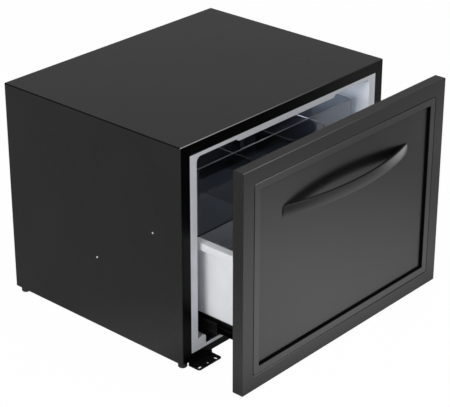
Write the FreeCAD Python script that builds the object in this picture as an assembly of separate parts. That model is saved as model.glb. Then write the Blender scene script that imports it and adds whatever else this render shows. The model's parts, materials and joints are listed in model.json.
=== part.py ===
import FreeCAD, Part
import math
import os

from FreeCAD import Vector

# Drawer minibar for building into a 600 mm furniture module, millimetres.
# X runs to the right as seen from the front, Y to the back, Z up from the floor.
# Pieces are drawn with the cabinet's front face at Y = 0, its middle at X = 0 and the floor
# at Z = 0. On export they move so that the origin is the middle of the cabinet's underside.
# The drawer is drawn as it stands, pulled out by REST_OPENING.

# Fits between pieces
FIT = 0.2
RUNNING_FIT = 0.05
CUT_OVERRUN = 1.0
SHORTEST_EDGE = 1e-5

# Cabinet of folded steel sheet
CABINET_WIDTH = 560.0
CABINET_DEPTH = 440.0
CABINET_HEIGHT = 420.0
CABINET_SHEET = 1.2
CABINET_EDGE_RADIUS = 1.5
RIM_SIDE = 22.5
RIM_TOP = 22.0
RIM_BOTTOM = 14.0
REAR_LIP = 12.0
REAR_PANEL_INSET = 3.0
REAR_SHEET = 1.0

# Feet and fixing brackets under the base
FOOT_HEIGHT = 12.0
FOOT_DIAMETER = 17.0
FOOT_INSET = 12.5
FOOT_CHAMFER = 1.5
FOOT_STUD = 6.0
FOOT_STUD_LENGTH = 9.0
BRACKET_SHEET = 2.0
BRACKET_WIDTH = 60.0
BRACKET_REACH = 26.0
BRACKET_OUTER_INSET = 14.5
BRACKET_UNDER_BASE = 46.0
BRACKET_JOGGLE = 7.0
BRACKET_CORNER = 5.0
BRACKET_FOOT_GAP = 6.0
BRACKET_HOLE_EDGE = 8.0
BRACKET_HOLE_SET_BACK = 6.5
BRACKET_HOLE_PITCH = 21.0
BRACKET_HOLE = 4.5
BRACKET_SLOT_STRETCH = 4.5

# Inner liner of formed plastic
LINER_WALL = 1.6
LINER_FLANGE_SIDE = 18.0
LINER_FLANGE_TOP = 8.0
LINER_FLANGE_BOTTOM = 5.6
LINER_CORNER = 10.0
LINER_STEP_RADIUS = 2.5
LINER_MOUTH_RADIUS = 1.2
CEILING_DROP = 5.0
CEILING_DROP_HALF_WIDTH = 132.0
LEDGE_WIDTH = 20.5
LEDGE_HEIGHT = 17.4

# Rubber mat in the well between the ledges
MAT_GAP = 3.0
MAT_BASE = 1.2
MAT_RIB_HEIGHT = 1.3
MAT_RIB_WIDTH = 3.0
MAT_RIB_PITCH = 12.0

# Cooling unit, from the rear panel forward
REAR_AIR_GAP = 9.0
HOT_FAN_SIZE = 120.0
HOT_FAN_DEPTH = 25.0
HOT_SINK_WIDTH = 130.0
HOT_SINK_HEIGHT = 150.0
HOT_SINK_DEPTH = 36.0
HOT_SINK_FINS = 15
MODULE_SIZE = 40.0
MODULE_THICKNESS = 4.0
SPACER_SIZE = 46.0
SPACER_THICKNESS = 4.4
COLD_SINK_SIZE = 90.0
COLD_SINK_DEPTH = 26.0
COLD_SINK_FINS = 12
SINK_BASE = 5.0
SINK_FIN = 1.6
COLD_FAN_SIZE = 92.0
COLD_FAN_DEPTH = 15.0
COLD_POCKET_GAP = 6.0
COLD_UNIT_RISE_SHARE = 0.66

# Fans
FAN_WALL = 2.5
FAN_TIP_GAP = 1.2
FAN_CORNER = 6.0
FAN_ARM_WIDTH = 5.0
FAN_SHAFT = 4.0
FAN_BLADES = 7
FAN_BLADE_THICKNESS = 1.6
FAN_BLADE_SINK = 1.0
FAN_HUB_SHARE = 0.38
FAN_ARM_SHARE = 0.2
FAN_BLADE_SHARE = 0.62
FAN_ROOT_PITCH = 42.0
FAN_TIP_PITCH = 26.0
FAN_HOLE_SHARE = 0.4375
FAN_SCREW_BITE = 5.0

# Duct cover on the liner's back wall
COVER_THICKNESS = 3.0
COVER_MARGIN = 14.0
COVER_CORNER = 8.0
GRILLE_SLOT = 4.0
GRILLE_PITCH = 9.0
RETURN_SLOT_LENGTH = 34.0
RETURN_SLOTS = 14
RETURN_RISE = 30.0
COVER_SCREW_INSET = 12.0

# Rear panel and what it holds
INTAKE_SLOT_LENGTH = 46.0
INTAKE_SLOTS = 9
INTAKE_RISE = 40.0
INTAKE_SIDE_OFFSET = 60.0
INLET_WIDTH = 27.6
INLET_HEIGHT = 20.0
INLET_DEPTH = 22.0
INLET_WALL = 2.0
INLET_FLOOR = 4.0
INLET_FLANGE = 6.0
INLET_FLANGE_THICKNESS = 2.2
INLET_CORNER = 3.0
INLET_SIDE_INSET = 75.0
INLET_RISE = 60.0
INLET_PIN_PITCH = 7.0
INLET_PIN_WIDTH = 2.0
INLET_PIN_HEIGHT = 4.0
INLET_PIN_LENGTH = 13.0
INLET_PIN_DROP = 4.0
SUPPLY_WIDTH = 96.0
SUPPLY_HEIGHT = 150.0
SUPPLY_DEPTH = 34.0
SUPPLY_SIDE_INSET = 100.0
SUPPLY_RISE = 120.0
SUPPLY_SHEET = 1.2
SUPPLY_CORNER = 2.0
SUPPLY_BOARD = 1.6
SUPPLY_CAPACITOR = 14.0
SUPPLY_CORE = 40.0
SUPPLY_PART_HEIGHT = 17.0
SUPPLY_PART_MARGIN = 14.0
DRIP_TRAY_WIDTH = 220.0
DRIP_TRAY_HEIGHT = 22.0
DRIP_TRAY_GAP = 6.0
DRIP_TRAY_WALL = 1.8
DRIP_TRAY_CORNER = 5.0
DRAIN_DIAMETER = 10.0
DRAIN_BORE = 7.0
DRAIN_CLEARANCE = 3.0
DRAIN_REACH = 14.0

# Leads in the bay behind the insulation
LEAD_DIAMETER = 5.0
LEAD_BEND = 9.0
LEAD_STUB = 20.0
LEAD_SAG = 26.0

# Telescopic slides under the basket
SLIDE_HEIGHT = 28.0
SLIDE_WIDTH = 12.8
SLIDE_STEEL = 1.2
SLIDE_BALL = 2.6
SLIDE_BALL_GAP = 0.1
SLIDE_FRONT = 30.0
SLIDE_REAR_GAP = 7.0
SLIDE_RISE = 3.5
SLIDE_WEB_GAP = 1.0
SLIDE_BRACKET_STEEL = 1.6
SLIDE_BRACKET_FOOT = 14.0
CAGE_STEEL = 0.6
CAGE_LENGTH = 90.0
CAGE_BALLS = 3
CAGE_EDGE = 1.0
REST_OPENING = 108.9

# How far each member follows the drawer: a cage goes half as far as its two neighbours part
MIDDLE_SHARE = 0.5
OUTER_CAGE_SHARE = MIDDLE_SHARE / 2
INNER_CAGE_SHARE = (1 + MIDDLE_SHARE) / 2

# Drawer front
FRONT_SIDE_OVERLAP = 2.5
FRONT_TOP_INSET = 2.3
FRONT_DROP = 3.3
FRONT_DEPTH = 22.4
FRAME_WIDTH = 27.5
FRAME_EDGE_RADIUS = 1.2
FRAME_FACE_RADIUS = 0.8
GROOVE_WIDTH = 1.2
GROOVE_CORNER = 7.0
INSET_WIDTH = 15.0
INSET_EDGE_RADIUS = 0.8
RECESS_DEPTH = 5.0
RECESS_TRIM = 1.5
CENTRE_PANEL = 3.0
BACK_PLATE = 1.5

# Bow handle
HANDLE_SPAN = 352.0
HANDLE_HEIGHT = 21.0
HANDLE_PROJECTION = 29.0
HANDLE_THICKNESS = 5.0
HANDLE_END_THICKNESS = 1.5
HANDLE_CROWN = 0.6
HANDLE_BELOW_TOP = 108.0
HANDLE_END_RADIUS = 3.0
HANDLE_SCREW_INSET = 9.0
HANDLE_SCREW_BITE = 1.6

# Insulated inner door and its seal
CLOSED_GAP = 0.3
GASKET_DEPTH = 10.0
GASKET_WIDTH = 15.0
GASKET_BASE = 3.0
GASKET_BELLOWS_INSET = 2.0
GASKET_HEAD = 3.0
GASKET_EDGE_GAP = 1.0
GASKET_CORNER = 6.0
PLUG_DEPTH = 22.0
PLUG_SIDE_GAP = 7.5
PLUG_TOP_GAP = 6.0
PLUG_FLOOR_GAP = 3.0
PLUG_CORNER = 12.0
PLUG_DRAFT = 3.0
PLUG_WALL = 2.0

# Basket, its frame and the clear rack on it
BASKET_SIDE_GAP = 11.5
BASKET_RIM_WIDTH = 14.0
BASKET_RIM_SHARE = 0.546
BASKET_LIP = 14.0
BASKET_WALL = 2.5
BASKET_DRAFT = 4.0
BASKET_CORNER = 18.0
BASKET_EDGE_RADIUS = 1.0
BASKET_FRONT_GAP = 4.0
BASKET_REAR_GAP = 8.0
FRAME_STEEL = 2.0
FRAME_RAIL_WIDTH = 26.0
RACK_WALL = 2.5
RACK_HEAD_ROOM = 12.0
RACK_SIDE_INSET = 12.0
RACK_LENGTH = 170.0
RACK_CORNER = 6.0
RACK_DIVIDER_SHARES = (-0.36, 0.16, 0.62)
RACK_DIVIDER_HEIGHT_SHARE = 0.8

# Ceiling control housing with its lamp and temperature knob
CONTROL_WIDTH = 150.0
CONTROL_LENGTH = 56.0
CONTROL_HEIGHT = 9.0
CONTROL_SETBACK = 34.0
CONTROL_CORNER = 5.0
LAMP_WIDTH = 70.0
LAMP_LENGTH = 22.0
LAMP_DEPTH = 3.0
LAMP_OFFSET = 28.0
KNOB_DIAMETER = 26.0
KNOB_HEIGHT = 8.0
KNOB_GRIP_WIDTH = 5.0
KNOB_GRIP_HEIGHT = 4.0
KNOB_CHAMFER = 1.0
KNOB_SPINDLE = 5.0
KNOB_SPINDLE_LENGTH = 6.0
KNOB_OFFSET = 44.0

# Screws
SCREW_SHANK = 3.6
SCREW_HEAD = 7.0
SCREW_HEAD_HEIGHT = 2.0
SCREW_LENGTH = 8.0
SIDE_SCREW_HEAD = 5.0
SIDE_SCREW_SHARES = ((0.155, 0.571), (0.478, 0.339))
BRACKET_SCREW_PITCH = 20.0

# Cabinet planes worked out from the sizes above
HALF_WIDTH = CABINET_WIDTH / 2
UNDERSIDE = FOOT_HEIGHT
ROOF = UNDERSIDE + CABINET_HEIGHT
BASE_TOP = UNDERSIDE + CABINET_SHEET
RIM_HALF = HALF_WIDTH - RIM_SIDE
RIM_LOW = UNDERSIDE + RIM_BOTTOM
RIM_HIGH = ROOF - RIM_TOP
LINER_HALF = RIM_HALF - LINER_FLANGE_SIDE
LINER_FLOOR = RIM_LOW + LINER_FLANGE_BOTTOM
LINER_CEILING = RIM_HIGH - LINER_FLANGE_TOP
DROPPED_CEILING = LINER_CEILING - CEILING_DROP
LEDGE_TOP = LINER_FLOOR + LEDGE_HEIGHT
LEDGE_HALF = LINER_HALF - LEDGE_WIDTH
CAVITY_HEIGHT = LINER_CEILING - LINER_FLOOR

# Depths of the cooling unit, from the rear panel forward
REAR_PANEL_BACK = CABINET_DEPTH - REAR_PANEL_INSET
REAR_PANEL_FRONT = REAR_PANEL_BACK - REAR_SHEET
HOT_FAN_BACK = REAR_PANEL_FRONT - REAR_AIR_GAP
HOT_FAN_FRONT = HOT_FAN_BACK - HOT_FAN_DEPTH
HOT_SINK_BACK = HOT_FAN_FRONT - FIT
INSULATION_BACK = HOT_SINK_BACK - HOT_SINK_DEPTH
MODULE_BACK = INSULATION_BACK - FIT
MODULE_FRONT = MODULE_BACK - MODULE_THICKNESS
SPACER_FRONT = MODULE_FRONT - SPACER_THICKNESS
COLD_SINK_FRONT = SPACER_FRONT - COLD_SINK_DEPTH
COLD_FAN_BACK = COLD_SINK_FRONT - FIT
COLD_FAN_FRONT = COLD_FAN_BACK - COLD_FAN_DEPTH
LINER_BACK = COLD_FAN_FRONT - FIT
LINER_DEPTH = LINER_BACK - LINER_WALL
COLD_UNIT_Z = LINER_FLOOR + CAVITY_HEIGHT * COLD_UNIT_RISE_SHARE
COVER_BACK = LINER_DEPTH - FIT
COVER_FRONT = COVER_BACK - COVER_THICKNESS

# Places of the drain, the mains inlet and the power supply
DRAIN_Z = BASE_TOP + DRIP_TRAY_HEIGHT + DRAIN_CLEARANCE + DRAIN_DIAMETER / 2
INLET_X = HALF_WIDTH - INLET_SIDE_INSET
INLET_Z = BASE_TOP + INLET_RISE
SUPPLY_X = HALF_WIDTH - SUPPLY_SIDE_INSET
SUPPLY_LOW = BASE_TOP + SUPPLY_RISE
SUPPLY_HIGH = SUPPLY_LOW + SUPPLY_HEIGHT

# Drawer planes, in the opening at which it is drawn
FRONT_BACK = -(REST_OPENING + GASKET_DEPTH + CLOSED_GAP)
FRONT_FACE = FRONT_BACK - FRONT_DEPTH
FRONT_LOW = UNDERSIDE - FRONT_DROP
FRONT_HIGH = ROOF - FRONT_TOP_INSET
FRONT_HALF = HALF_WIDTH + FRONT_SIDE_OVERLAP
RECESS_FACE = FRONT_FACE + RECESS_DEPTH
CORE_FRONT = RECESS_FACE + CENTRE_PANEL
BACK_PLATE_FRONT = FRONT_BACK - BACK_PLATE
GROOVE_INSET = FRAME_WIDTH + GROOVE_WIDTH
RECESS_INSET = FRAME_WIDTH + INSET_WIDTH
HANDLE_Z = FRONT_HIGH - HANDLE_BELOW_TOP
PLUG_HALF = LINER_HALF - PLUG_SIDE_GAP
PLUG_LOW = LEDGE_TOP + PLUG_FLOOR_GAP
PLUG_HIGH = DROPPED_CEILING - PLUG_TOP_GAP
PLUG_BACK = FRONT_BACK + PLUG_DEPTH

# Slide sections, frame, basket and rack
SLIDE_LOW = LEDGE_TOP + SLIDE_RISE
SLIDE_HIGH = SLIDE_LOW + SLIDE_HEIGHT
SLIDE_Z = (SLIDE_LOW + SLIDE_HIGH) / 2
SLIDE_OUTER_FACE = LEDGE_HALF + FIT
SLIDE_INNER_FACE = SLIDE_OUTER_FACE - SLIDE_WIDTH
SLIDE_REAR = COVER_FRONT - SLIDE_REAR_GAP
SLIDE_STEP = SLIDE_STEEL + SLIDE_BALL + SLIDE_BALL_GAP
SLIDE_LIP = SLIDE_INNER_FACE + SLIDE_STEEL + SLIDE_WEB_GAP
MIDDLE_WEB = SLIDE_OUTER_FACE - SLIDE_STEEL - SLIDE_WEB_GAP
MIDDLE_HEIGHT = SLIDE_HEIGHT - 2 * SLIDE_STEP
INNER_HEIGHT = MIDDLE_HEIGHT - 2 * SLIDE_STEP
FRAME_FACE = SLIDE_INNER_FACE - FIT
FRAME_HIGH = SLIDE_HIGH + FIT
FRAME_FRONT = PLUG_BACK + FIT
BASKET_LOW = FRAME_HIGH + FIT
BASKET_RIM = LINER_FLOOR + CAVITY_HEIGHT * BASKET_RIM_SHARE
BASKET_HALF = LINER_HALF - BASKET_SIDE_GAP
BASKET_FRONT = PLUG_BACK + BASKET_FRONT_GAP
BASKET_BACK = COVER_FRONT - BASKET_REAR_GAP - REST_OPENING
RACK_LOW = BASKET_RIM + FIT
KNOB_DROP = CONTROL_HEIGHT + KNOB_HEIGHT + KNOB_GRIP_HEIGHT
RACK_HIGH = DROPPED_CEILING - KNOB_DROP - RACK_HEAD_ROOM
RACK_HALF = BASKET_HALF - RACK_SIDE_INSET
RACK_BACK = BASKET_BACK - BASKET_WALL
RACK_FRONT = RACK_BACK - RACK_LENGTH
CONTROL_LOW = DROPPED_CEILING - CONTROL_HEIGHT
CONTROL_BACK = CONTROL_SETBACK + CONTROL_LENGTH
CONTROL_Y = (CONTROL_SETBACK + CONTROL_BACK) / 2


def box(x0, x1, y0, y1, z0, z1):
    return Part.makeBox(x1 - x0, y1 - y0, z1 - z0, Vector(x0, y0, z0))


def slab(half, y0, y1, z0, z1):
    """Box that is as wide on both sides of the middle plane."""
    return box(-half, half, y0, y1, z0, z1)


def mirrored(shape):
    """The same piece on the other side of the middle plane."""
    return shape.mirror(Vector(0, 0, 0), Vector(1, 0, 0))


def both_sides(shape):
    return Part.makeCompound([shape, mirrored(shape)])


def outline(corners, place):
    """Closed wire through (u, v, radius) corners, each rounded by its radius."""
    bends = []
    count = len(corners)
    for i in range(count):
        u, v, radius = corners[i]
        corner = Vector(u, v, 0)
        before = Vector(*corners[i - 1][:2], 0) - corner
        after = Vector(*corners[(i + 1) % count][:2], 0) - corner
        before.normalize()
        after.normalize()
        half_turn = before.getAngle(after) / 2
        reach = radius / math.tan(half_turn)
        middle = (before + after) * (0.5 / math.cos(half_turn))
        top = corner + middle * (radius / math.sin(half_turn) - radius)
        bends.append((corner + before * reach, top, corner + after * reach, radius))
    edges = []
    for i in range(count):
        start, top, end, radius = bends[i]
        last = bends[i - 1][2]
        if (start - last).Length > SHORTEST_EDGE:
            edges.append(Part.makeLine(place(last), place(start)))
        if radius:
            edges.append(Part.Arc(place(start), place(top), place(end)).toShape())
    return Part.Wire(edges)


def upright_wire(corners, y):
    return outline(corners, lambda p: Vector(p.x, y, p.y))


def level_wire(corners, z):
    return outline(corners, lambda p: Vector(p.x, p.y, z))


def upright_prism(corners, y0, y1):
    """Solid with its outline in X and Z, from y0 to y1."""
    return Part.Face(upright_wire(corners, y0)).extrude(Vector(0, y1 - y0, 0))


def level_prism(corners, z0, z1):
    """Solid with its outline in X and Y, from z0 to z1."""
    return Part.Face(level_wire(corners, z0)).extrude(Vector(0, 0, z1 - z0))


def rectangle(u0, u1, v0, v1, radius):
    return [(u0, v0, radius), (u1, v0, radius), (u1, v1, radius), (u0, v1, radius)]


def front_rectangle(inset, radius):
    """Outline that runs `inset` inside the drawer front's edge."""
    half = FRONT_HALF - inset
    return rectangle(-half, half, FRONT_LOW + inset, FRONT_HIGH - inset, radius)


def rod(x, y, z, axis, radius, length):
    return Part.makeCylinder(radius, length, Vector(x, y, z), axis)


def rounded(shape, radius, chosen):
    """Fillet on the edges that `chosen` picks by their bounding box."""
    return shape.makeFillet(radius, [e for e in shape.Edges if chosen(e.BoundBox)])


def chamfered(shape, size, chosen):
    return shape.makeChamfer(size, [e for e in shape.Edges if chosen(e.BoundBox)])


def near(a, b):
    return abs(a - b) < FIT / 2


def at_plane_y(y):
    return lambda b: near(b.YMin, y) and near(b.YMax, y)


def at_plane_z(z):
    return lambda b: near(b.ZMin, z) and near(b.ZMax, z)


ALONG_X = Vector(1, 0, 0)
ALONG_Y = Vector(0, 1, 0)
ALONG_Z = Vector(0, 0, 1)


def screw(place, axis, length=SCREW_LENGTH, head=SCREW_HEAD):
    """Pan-head screw: the head stands on `place` and the shank runs along `axis`."""
    pan = Part.makeCylinder(head / 2, SCREW_HEAD_HEIGHT, place - axis * SCREW_HEAD_HEIGHT, axis)
    shank = Part.makeCylinder(SCREW_SHANK / 2, length, place, axis)
    return pan.fuse(shank).removeSplitter()


def screw_hole(place, axis, length=SCREW_LENGTH):
    depth = length + 2 * CUT_OVERRUN
    return Part.makeCylinder(SCREW_SHANK / 2 + FIT / 2, depth, place - axis * CUT_OVERRUN, axis)


def screws(places, axis, length=SCREW_LENGTH, head=SCREW_HEAD):
    return Part.makeCompound([screw(p, axis, length, head) for p in places])


def drilled(shape, places, axis, length=SCREW_LENGTH):
    for p in places:
        shape = shape.cut(screw_hole(p, axis, length))
    return shape


# Places of the screws, shared by the screws and their holes
SIDE_SCREWS = [
    Vector(-HALF_WIDTH, CABINET_DEPTH * y, UNDERSIDE + CABINET_HEIGHT * z) for y, z in SIDE_SCREW_SHARES
]
BRACKET_LEFT = -HALF_WIDTH + BRACKET_OUTER_INSET
BRACKET_RIGHT = BRACKET_LEFT + BRACKET_WIDTH
BRACKET_SCREW_X = BRACKET_RIGHT - SCREW_HEAD
BRACKET_SCREW_Y = BRACKET_UNDER_BASE - SCREW_HEAD
BRACKET_SCREWS = [
    Vector(BRACKET_SCREW_X, BRACKET_SCREW_Y - i * BRACKET_SCREW_PITCH, UNDERSIDE - BRACKET_SHEET)
    for i in range(2)
]
REAR_SCREW_X = HALF_WIDTH - CABINET_SHEET - REAR_LIP / 2
REAR_SCREWS = [
    Vector(x, REAR_PANEL_BACK, z)
    for x in (-REAR_SCREW_X, REAR_SCREW_X)
    for z in (BASE_TOP + REAR_LIP, (BASE_TOP + ROOF) / 2, ROOF - REAR_LIP)
]
FAN_SCREW_OFFSET = HOT_FAN_SIZE * FAN_HOLE_SHARE
FAN_SCREWS = [
    Vector(x, HOT_FAN_BACK, COLD_UNIT_Z + z)
    for x in (-FAN_SCREW_OFFSET, FAN_SCREW_OFFSET)
    for z in (-FAN_SCREW_OFFSET, FAN_SCREW_OFFSET)
]
COVER_SCREW_MARGIN = COVER_MARGIN + COVER_SCREW_INSET
COVER_SCREW_X = LINER_HALF - COVER_SCREW_MARGIN
COVER_SCREWS = [
    Vector(x, COVER_FRONT, z)
    for x in (-COVER_SCREW_X, COVER_SCREW_X)
    for z in (LEDGE_TOP + COVER_SCREW_MARGIN, DROPPED_CEILING - COVER_SCREW_MARGIN)
]
HANDLE_SCREW_X = HANDLE_SPAN / 2 - HANDLE_SCREW_INSET
HANDLE_SCREWS = [Vector(x, CORE_FRONT, HANDLE_Z) for x in (-HANDLE_SCREW_X, HANDLE_SCREW_X)]
FOOT_PLACES = [
    (x, y)
    for x in (-HALF_WIDTH + FOOT_INSET, HALF_WIDTH - FOOT_INSET)
    for y in (FOOT_INSET, CABINET_DEPTH - FOOT_INSET)
]


def cabinet_shell():
    """Top and sides folded from one sheet, with the front rim and the rear lips."""
    shell = slab(HALF_WIDTH, 0, CABINET_DEPTH, UNDERSIDE, ROOF)
    shell = rounded(
        shell,
        CABINET_EDGE_RADIUS,
        lambda b: near(b.ZMin, ROOF) and b.YMin < CABINET_DEPTH / 2
        or near(b.YMax, 0) and near(b.XMin, b.XMax),
    )
    inner = HALF_WIDTH - CABINET_SHEET
    ceiling = ROOF - CABINET_SHEET
    back = CABINET_DEPTH + CUT_OVERRUN
    shell = shell.cut(slab(inner, CABINET_SHEET, back, UNDERSIDE - CUT_OVERRUN, ceiling))
    shell = shell.cut(slab(RIM_HALF, -CUT_OVERRUN, CABINET_SHEET + CUT_OVERRUN, RIM_LOW, RIM_HIGH))
    lip = slab(inner, REAR_PANEL_FRONT - CABINET_SHEET, REAR_PANEL_FRONT, BASE_TOP, ceiling)
    lip_hole = slab(inner - REAR_LIP, 0, back, BASE_TOP + REAR_LIP, ceiling - REAR_LIP)
    shell = shell.fuse(lip.cut(lip_hole)).removeSplitter()
    shell = drilled(shell, SIDE_SCREWS, ALONG_X)
    shell = drilled(shell, [Vector(-p.x, p.y, p.z) for p in SIDE_SCREWS], -ALONG_X)
    return drilled(shell, REAR_SCREWS, -ALONG_Y)


def base_panel():
    """Bottom sheet between the sides, drilled for the feet and the brackets."""
    inner = HALF_WIDTH - CABINET_SHEET - FIT
    front = CABINET_SHEET + FIT
    panel = slab(inner, front, REAR_PANEL_FRONT - CABINET_SHEET - FIT, UNDERSIDE, BASE_TOP)
    for x, y in FOOT_PLACES:
        panel = panel.cut(rod(x, y, 0, ALONG_Z, FOOT_STUD / 2 + FIT, 2 * UNDERSIDE))
    panel = drilled(panel, BRACKET_SCREWS, ALONG_Z)
    return drilled(panel, [Vector(-p.x, p.y, p.z) for p in BRACKET_SCREWS], ALONG_Z)


def foot(x, y):
    """Rubber foot with the stud that screws up into the base."""
    pad = rod(x, y, 0, ALONG_Z, FOOT_DIAMETER / 2, FOOT_HEIGHT)
    pad = chamfered(pad, FOOT_CHAMFER, at_plane_z(0))
    stud = rod(x, y, FOOT_HEIGHT, ALONG_Z, FOOT_STUD / 2, FOOT_STUD_LENGTH)
    return pad.fuse(stud).removeSplitter()


def fixing_bracket():
    """Left bracket, joggled down from the base to a plate with two slots and a hole."""
    low = UNDERSIDE - BRACKET_JOGGLE
    plate = level_prism(
        [
            (BRACKET_LEFT, -BRACKET_REACH, BRACKET_CORNER),
            (BRACKET_RIGHT, -BRACKET_REACH, BRACKET_CORNER),
            (BRACKET_RIGHT, 0, 0),
            (BRACKET_LEFT, 0, 0),
        ],
        low,
        low + BRACKET_SHEET,
    )
    web = box(BRACKET_LEFT, BRACKET_RIGHT, -BRACKET_SHEET, 0, low, UNDERSIDE)
    inner_edge = -HALF_WIDTH + FOOT_INSET + FOOT_DIAMETER / 2 + BRACKET_FOOT_GAP
    flange = level_prism(
        [
            (inner_edge, -BRACKET_SHEET, 0),
            (BRACKET_RIGHT, -BRACKET_SHEET, 0),
            (BRACKET_RIGHT, BRACKET_UNDER_BASE, BRACKET_CORNER),
            (inner_edge, BRACKET_UNDER_BASE, BRACKET_CORNER),
        ],
        UNDERSIDE - BRACKET_SHEET,
        UNDERSIDE,
    )
    bracket = plate.fuse([web, flange]).removeSplitter()
    y = -BRACKET_REACH + BRACKET_HOLE_SET_BACK
    radius = BRACKET_HOLE / 2
    stretches = ((BRACKET_SLOT_STRETCH, 0), (0, 0), (0, BRACKET_SLOT_STRETCH))
    for i, (along_x, along_y) in enumerate(stretches):
        x = BRACKET_LEFT + BRACKET_HOLE_EDGE + i * BRACKET_HOLE_PITCH
        u = radius + along_x / 2
        v = radius + along_y / 2
        corners = rectangle(x - u, x + u, y - v, y + v, radius)
        bracket = bracket.cut(level_prism(corners, 0, UNDERSIDE + CUT_OVERRUN))
    return drilled(bracket, BRACKET_SCREWS, ALONG_Z)


def liner_corners(grow):
    """Cross-section of the cavity: ledges below, dropped ceiling above."""
    side = LINER_HALF + grow
    ledge = LEDGE_HALF + grow
    low = LINER_FLOOR - grow
    shelf = LEDGE_TOP - grow
    high = LINER_CEILING + grow
    drop = DROPPED_CEILING + grow
    step_out = CEILING_DROP_HALF_WIDTH + CEILING_DROP
    step_in = CEILING_DROP_HALF_WIDTH
    small = LINER_STEP_RADIUS
    right = [
        (ledge, low, small),
        (ledge, shelf, small),
        (side, shelf, small),
        (side, high, LINER_CORNER + grow),
        (step_out, high, small),
        (step_in, drop, small),
    ]
    left = [(-u, v, radius) for u, v, radius in reversed(right)]
    return right + left


def inner_liner():
    """Formed tub: flange round the mouth, fan opening and drain in the back wall."""
    flange = slab(RIM_HALF - FIT, 0, LINER_WALL, RIM_LOW + FIT, RIM_HIGH - FIT)
    tub = upright_prism(liner_corners(LINER_WALL), 0, LINER_BACK)
    hollow = upright_prism(liner_corners(0), -CUT_OVERRUN, LINER_DEPTH)
    liner = flange.fuse(tub).cut(hollow).removeSplitter()
    mouth = LINER_HALF + FIT
    at_front = at_plane_y(0)
    liner = rounded(liner, LINER_MOUTH_RADIUS, lambda b: at_front(b) and -mouth < b.XMin and b.XMax < mouth)
    liner = drilled(liner, COVER_SCREWS, ALONG_Y)
    bore = COLD_FAN_SIZE / 2 - FAN_WALL
    depth = LINER_WALL + 2 * CUT_OVERRUN
    liner = liner.cut(rod(0, LINER_DEPTH - CUT_OVERRUN, COLD_UNIT_Z, ALONG_Y, bore, depth))
    return liner.cut(drain_bore(DRAIN_DIAMETER / 2 + FIT))


def well_mat():
    """Ribbed mat on the well's floor, clear of its rounded corners."""
    half = LEDGE_HALF - MAT_GAP
    y0 = LINER_MOUTH_RADIUS + FIT
    y1 = LINER_DEPTH - MAT_GAP
    top = LINER_FLOOR + MAT_BASE
    mat = slab(half, y0, y1, LINER_FLOOR, top)
    count = int((half - MAT_RIB_WIDTH) // MAT_RIB_PITCH)
    ribs = []
    for i in range(-count, count + 1):
        x = i * MAT_RIB_PITCH
        ribs.append(box(x - MAT_RIB_WIDTH / 2, x + MAT_RIB_WIDTH / 2, y0, y1, top, top + MAT_RIB_HEIGHT))
    return mat.fuse(ribs).removeSplitter()


def drain_bore(radius):
    length = INSULATION_BACK + DRAIN_REACH - LINER_DEPTH
    return rod(0, LINER_DEPTH, DRAIN_Z, ALONG_Y, radius, length)


def drain_tube():
    return drain_bore(DRAIN_DIAMETER / 2).cut(drain_bore(DRAIN_BORE / 2))


def foam_insulation():
    """Foam between the sheet and the liner, open where the cold unit passes."""
    foam = slab(HALF_WIDTH - CABINET_SHEET, LINER_WALL, INSULATION_BACK, BASE_TOP, ROOF - CABINET_SHEET)
    foam = foam.cut(upright_prism(liner_corners(LINER_WALL + FIT), 0, LINER_BACK + FIT / 2))
    pocket = COLD_FAN_SIZE + 2 * COLD_POCKET_GAP
    foam = foam.cut(block(pocket, LINER_BACK - CUT_OVERRUN, INSULATION_BACK + CUT_OVERRUN))
    foam = foam.cut(drain_bore(DRAIN_DIAMETER / 2 + FIT))
    stud_top = FOOT_HEIGHT + FOOT_STUD_LENGTH + FIT
    for x, y in FOOT_PLACES:
        if y < INSULATION_BACK:
            foam = foam.cut(rod(x, y, 0, ALONG_Z, FOOT_STUD / 2 + FIT, stud_top))
    for p in BRACKET_SCREWS:
        for x in (p.x, -p.x):
            foam = foam.cut(screw_hole(Vector(x, p.y, p.z), ALONG_Z))
    foam = drilled(foam, COVER_SCREWS, ALONG_Y)
    for p in SIDE_SCREWS:
        foam = foam.cut(screw_hole(p, ALONG_X))
        foam = foam.cut(screw_hole(Vector(-p.x, p.y, p.z), -ALONG_X))
    return foam


def heat_sink(width, height, y_base, y_tips, fins):
    """Extruded comb: a base plate with upright fins towards y_tips."""
    half = width / 2
    sense = 1 if y_tips > y_base else -1
    root = y_base + sense * SINK_BASE
    pitch = (width - SINK_FIN) / (fins - 1)
    points = [(-half, y_base, 0)]
    for i in range(fins):
        left = -half + i * pitch
        if i:
            points.append((left, root, 0))
        points.append((left, y_tips, 0))
        points.append((left + SINK_FIN, y_tips, 0))
        if i < fins - 1:
            points.append((left + SINK_FIN, root, 0))
    points.append((half, y_base, 0))
    return level_prism(points, COLD_UNIT_Z - height / 2, COLD_UNIT_Z + height / 2)


def fan_corners(size):
    half = size / 2
    return rectangle(-half, half, COLD_UNIT_Z - half, COLD_UNIT_Z + half, FAN_CORNER)


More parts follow.
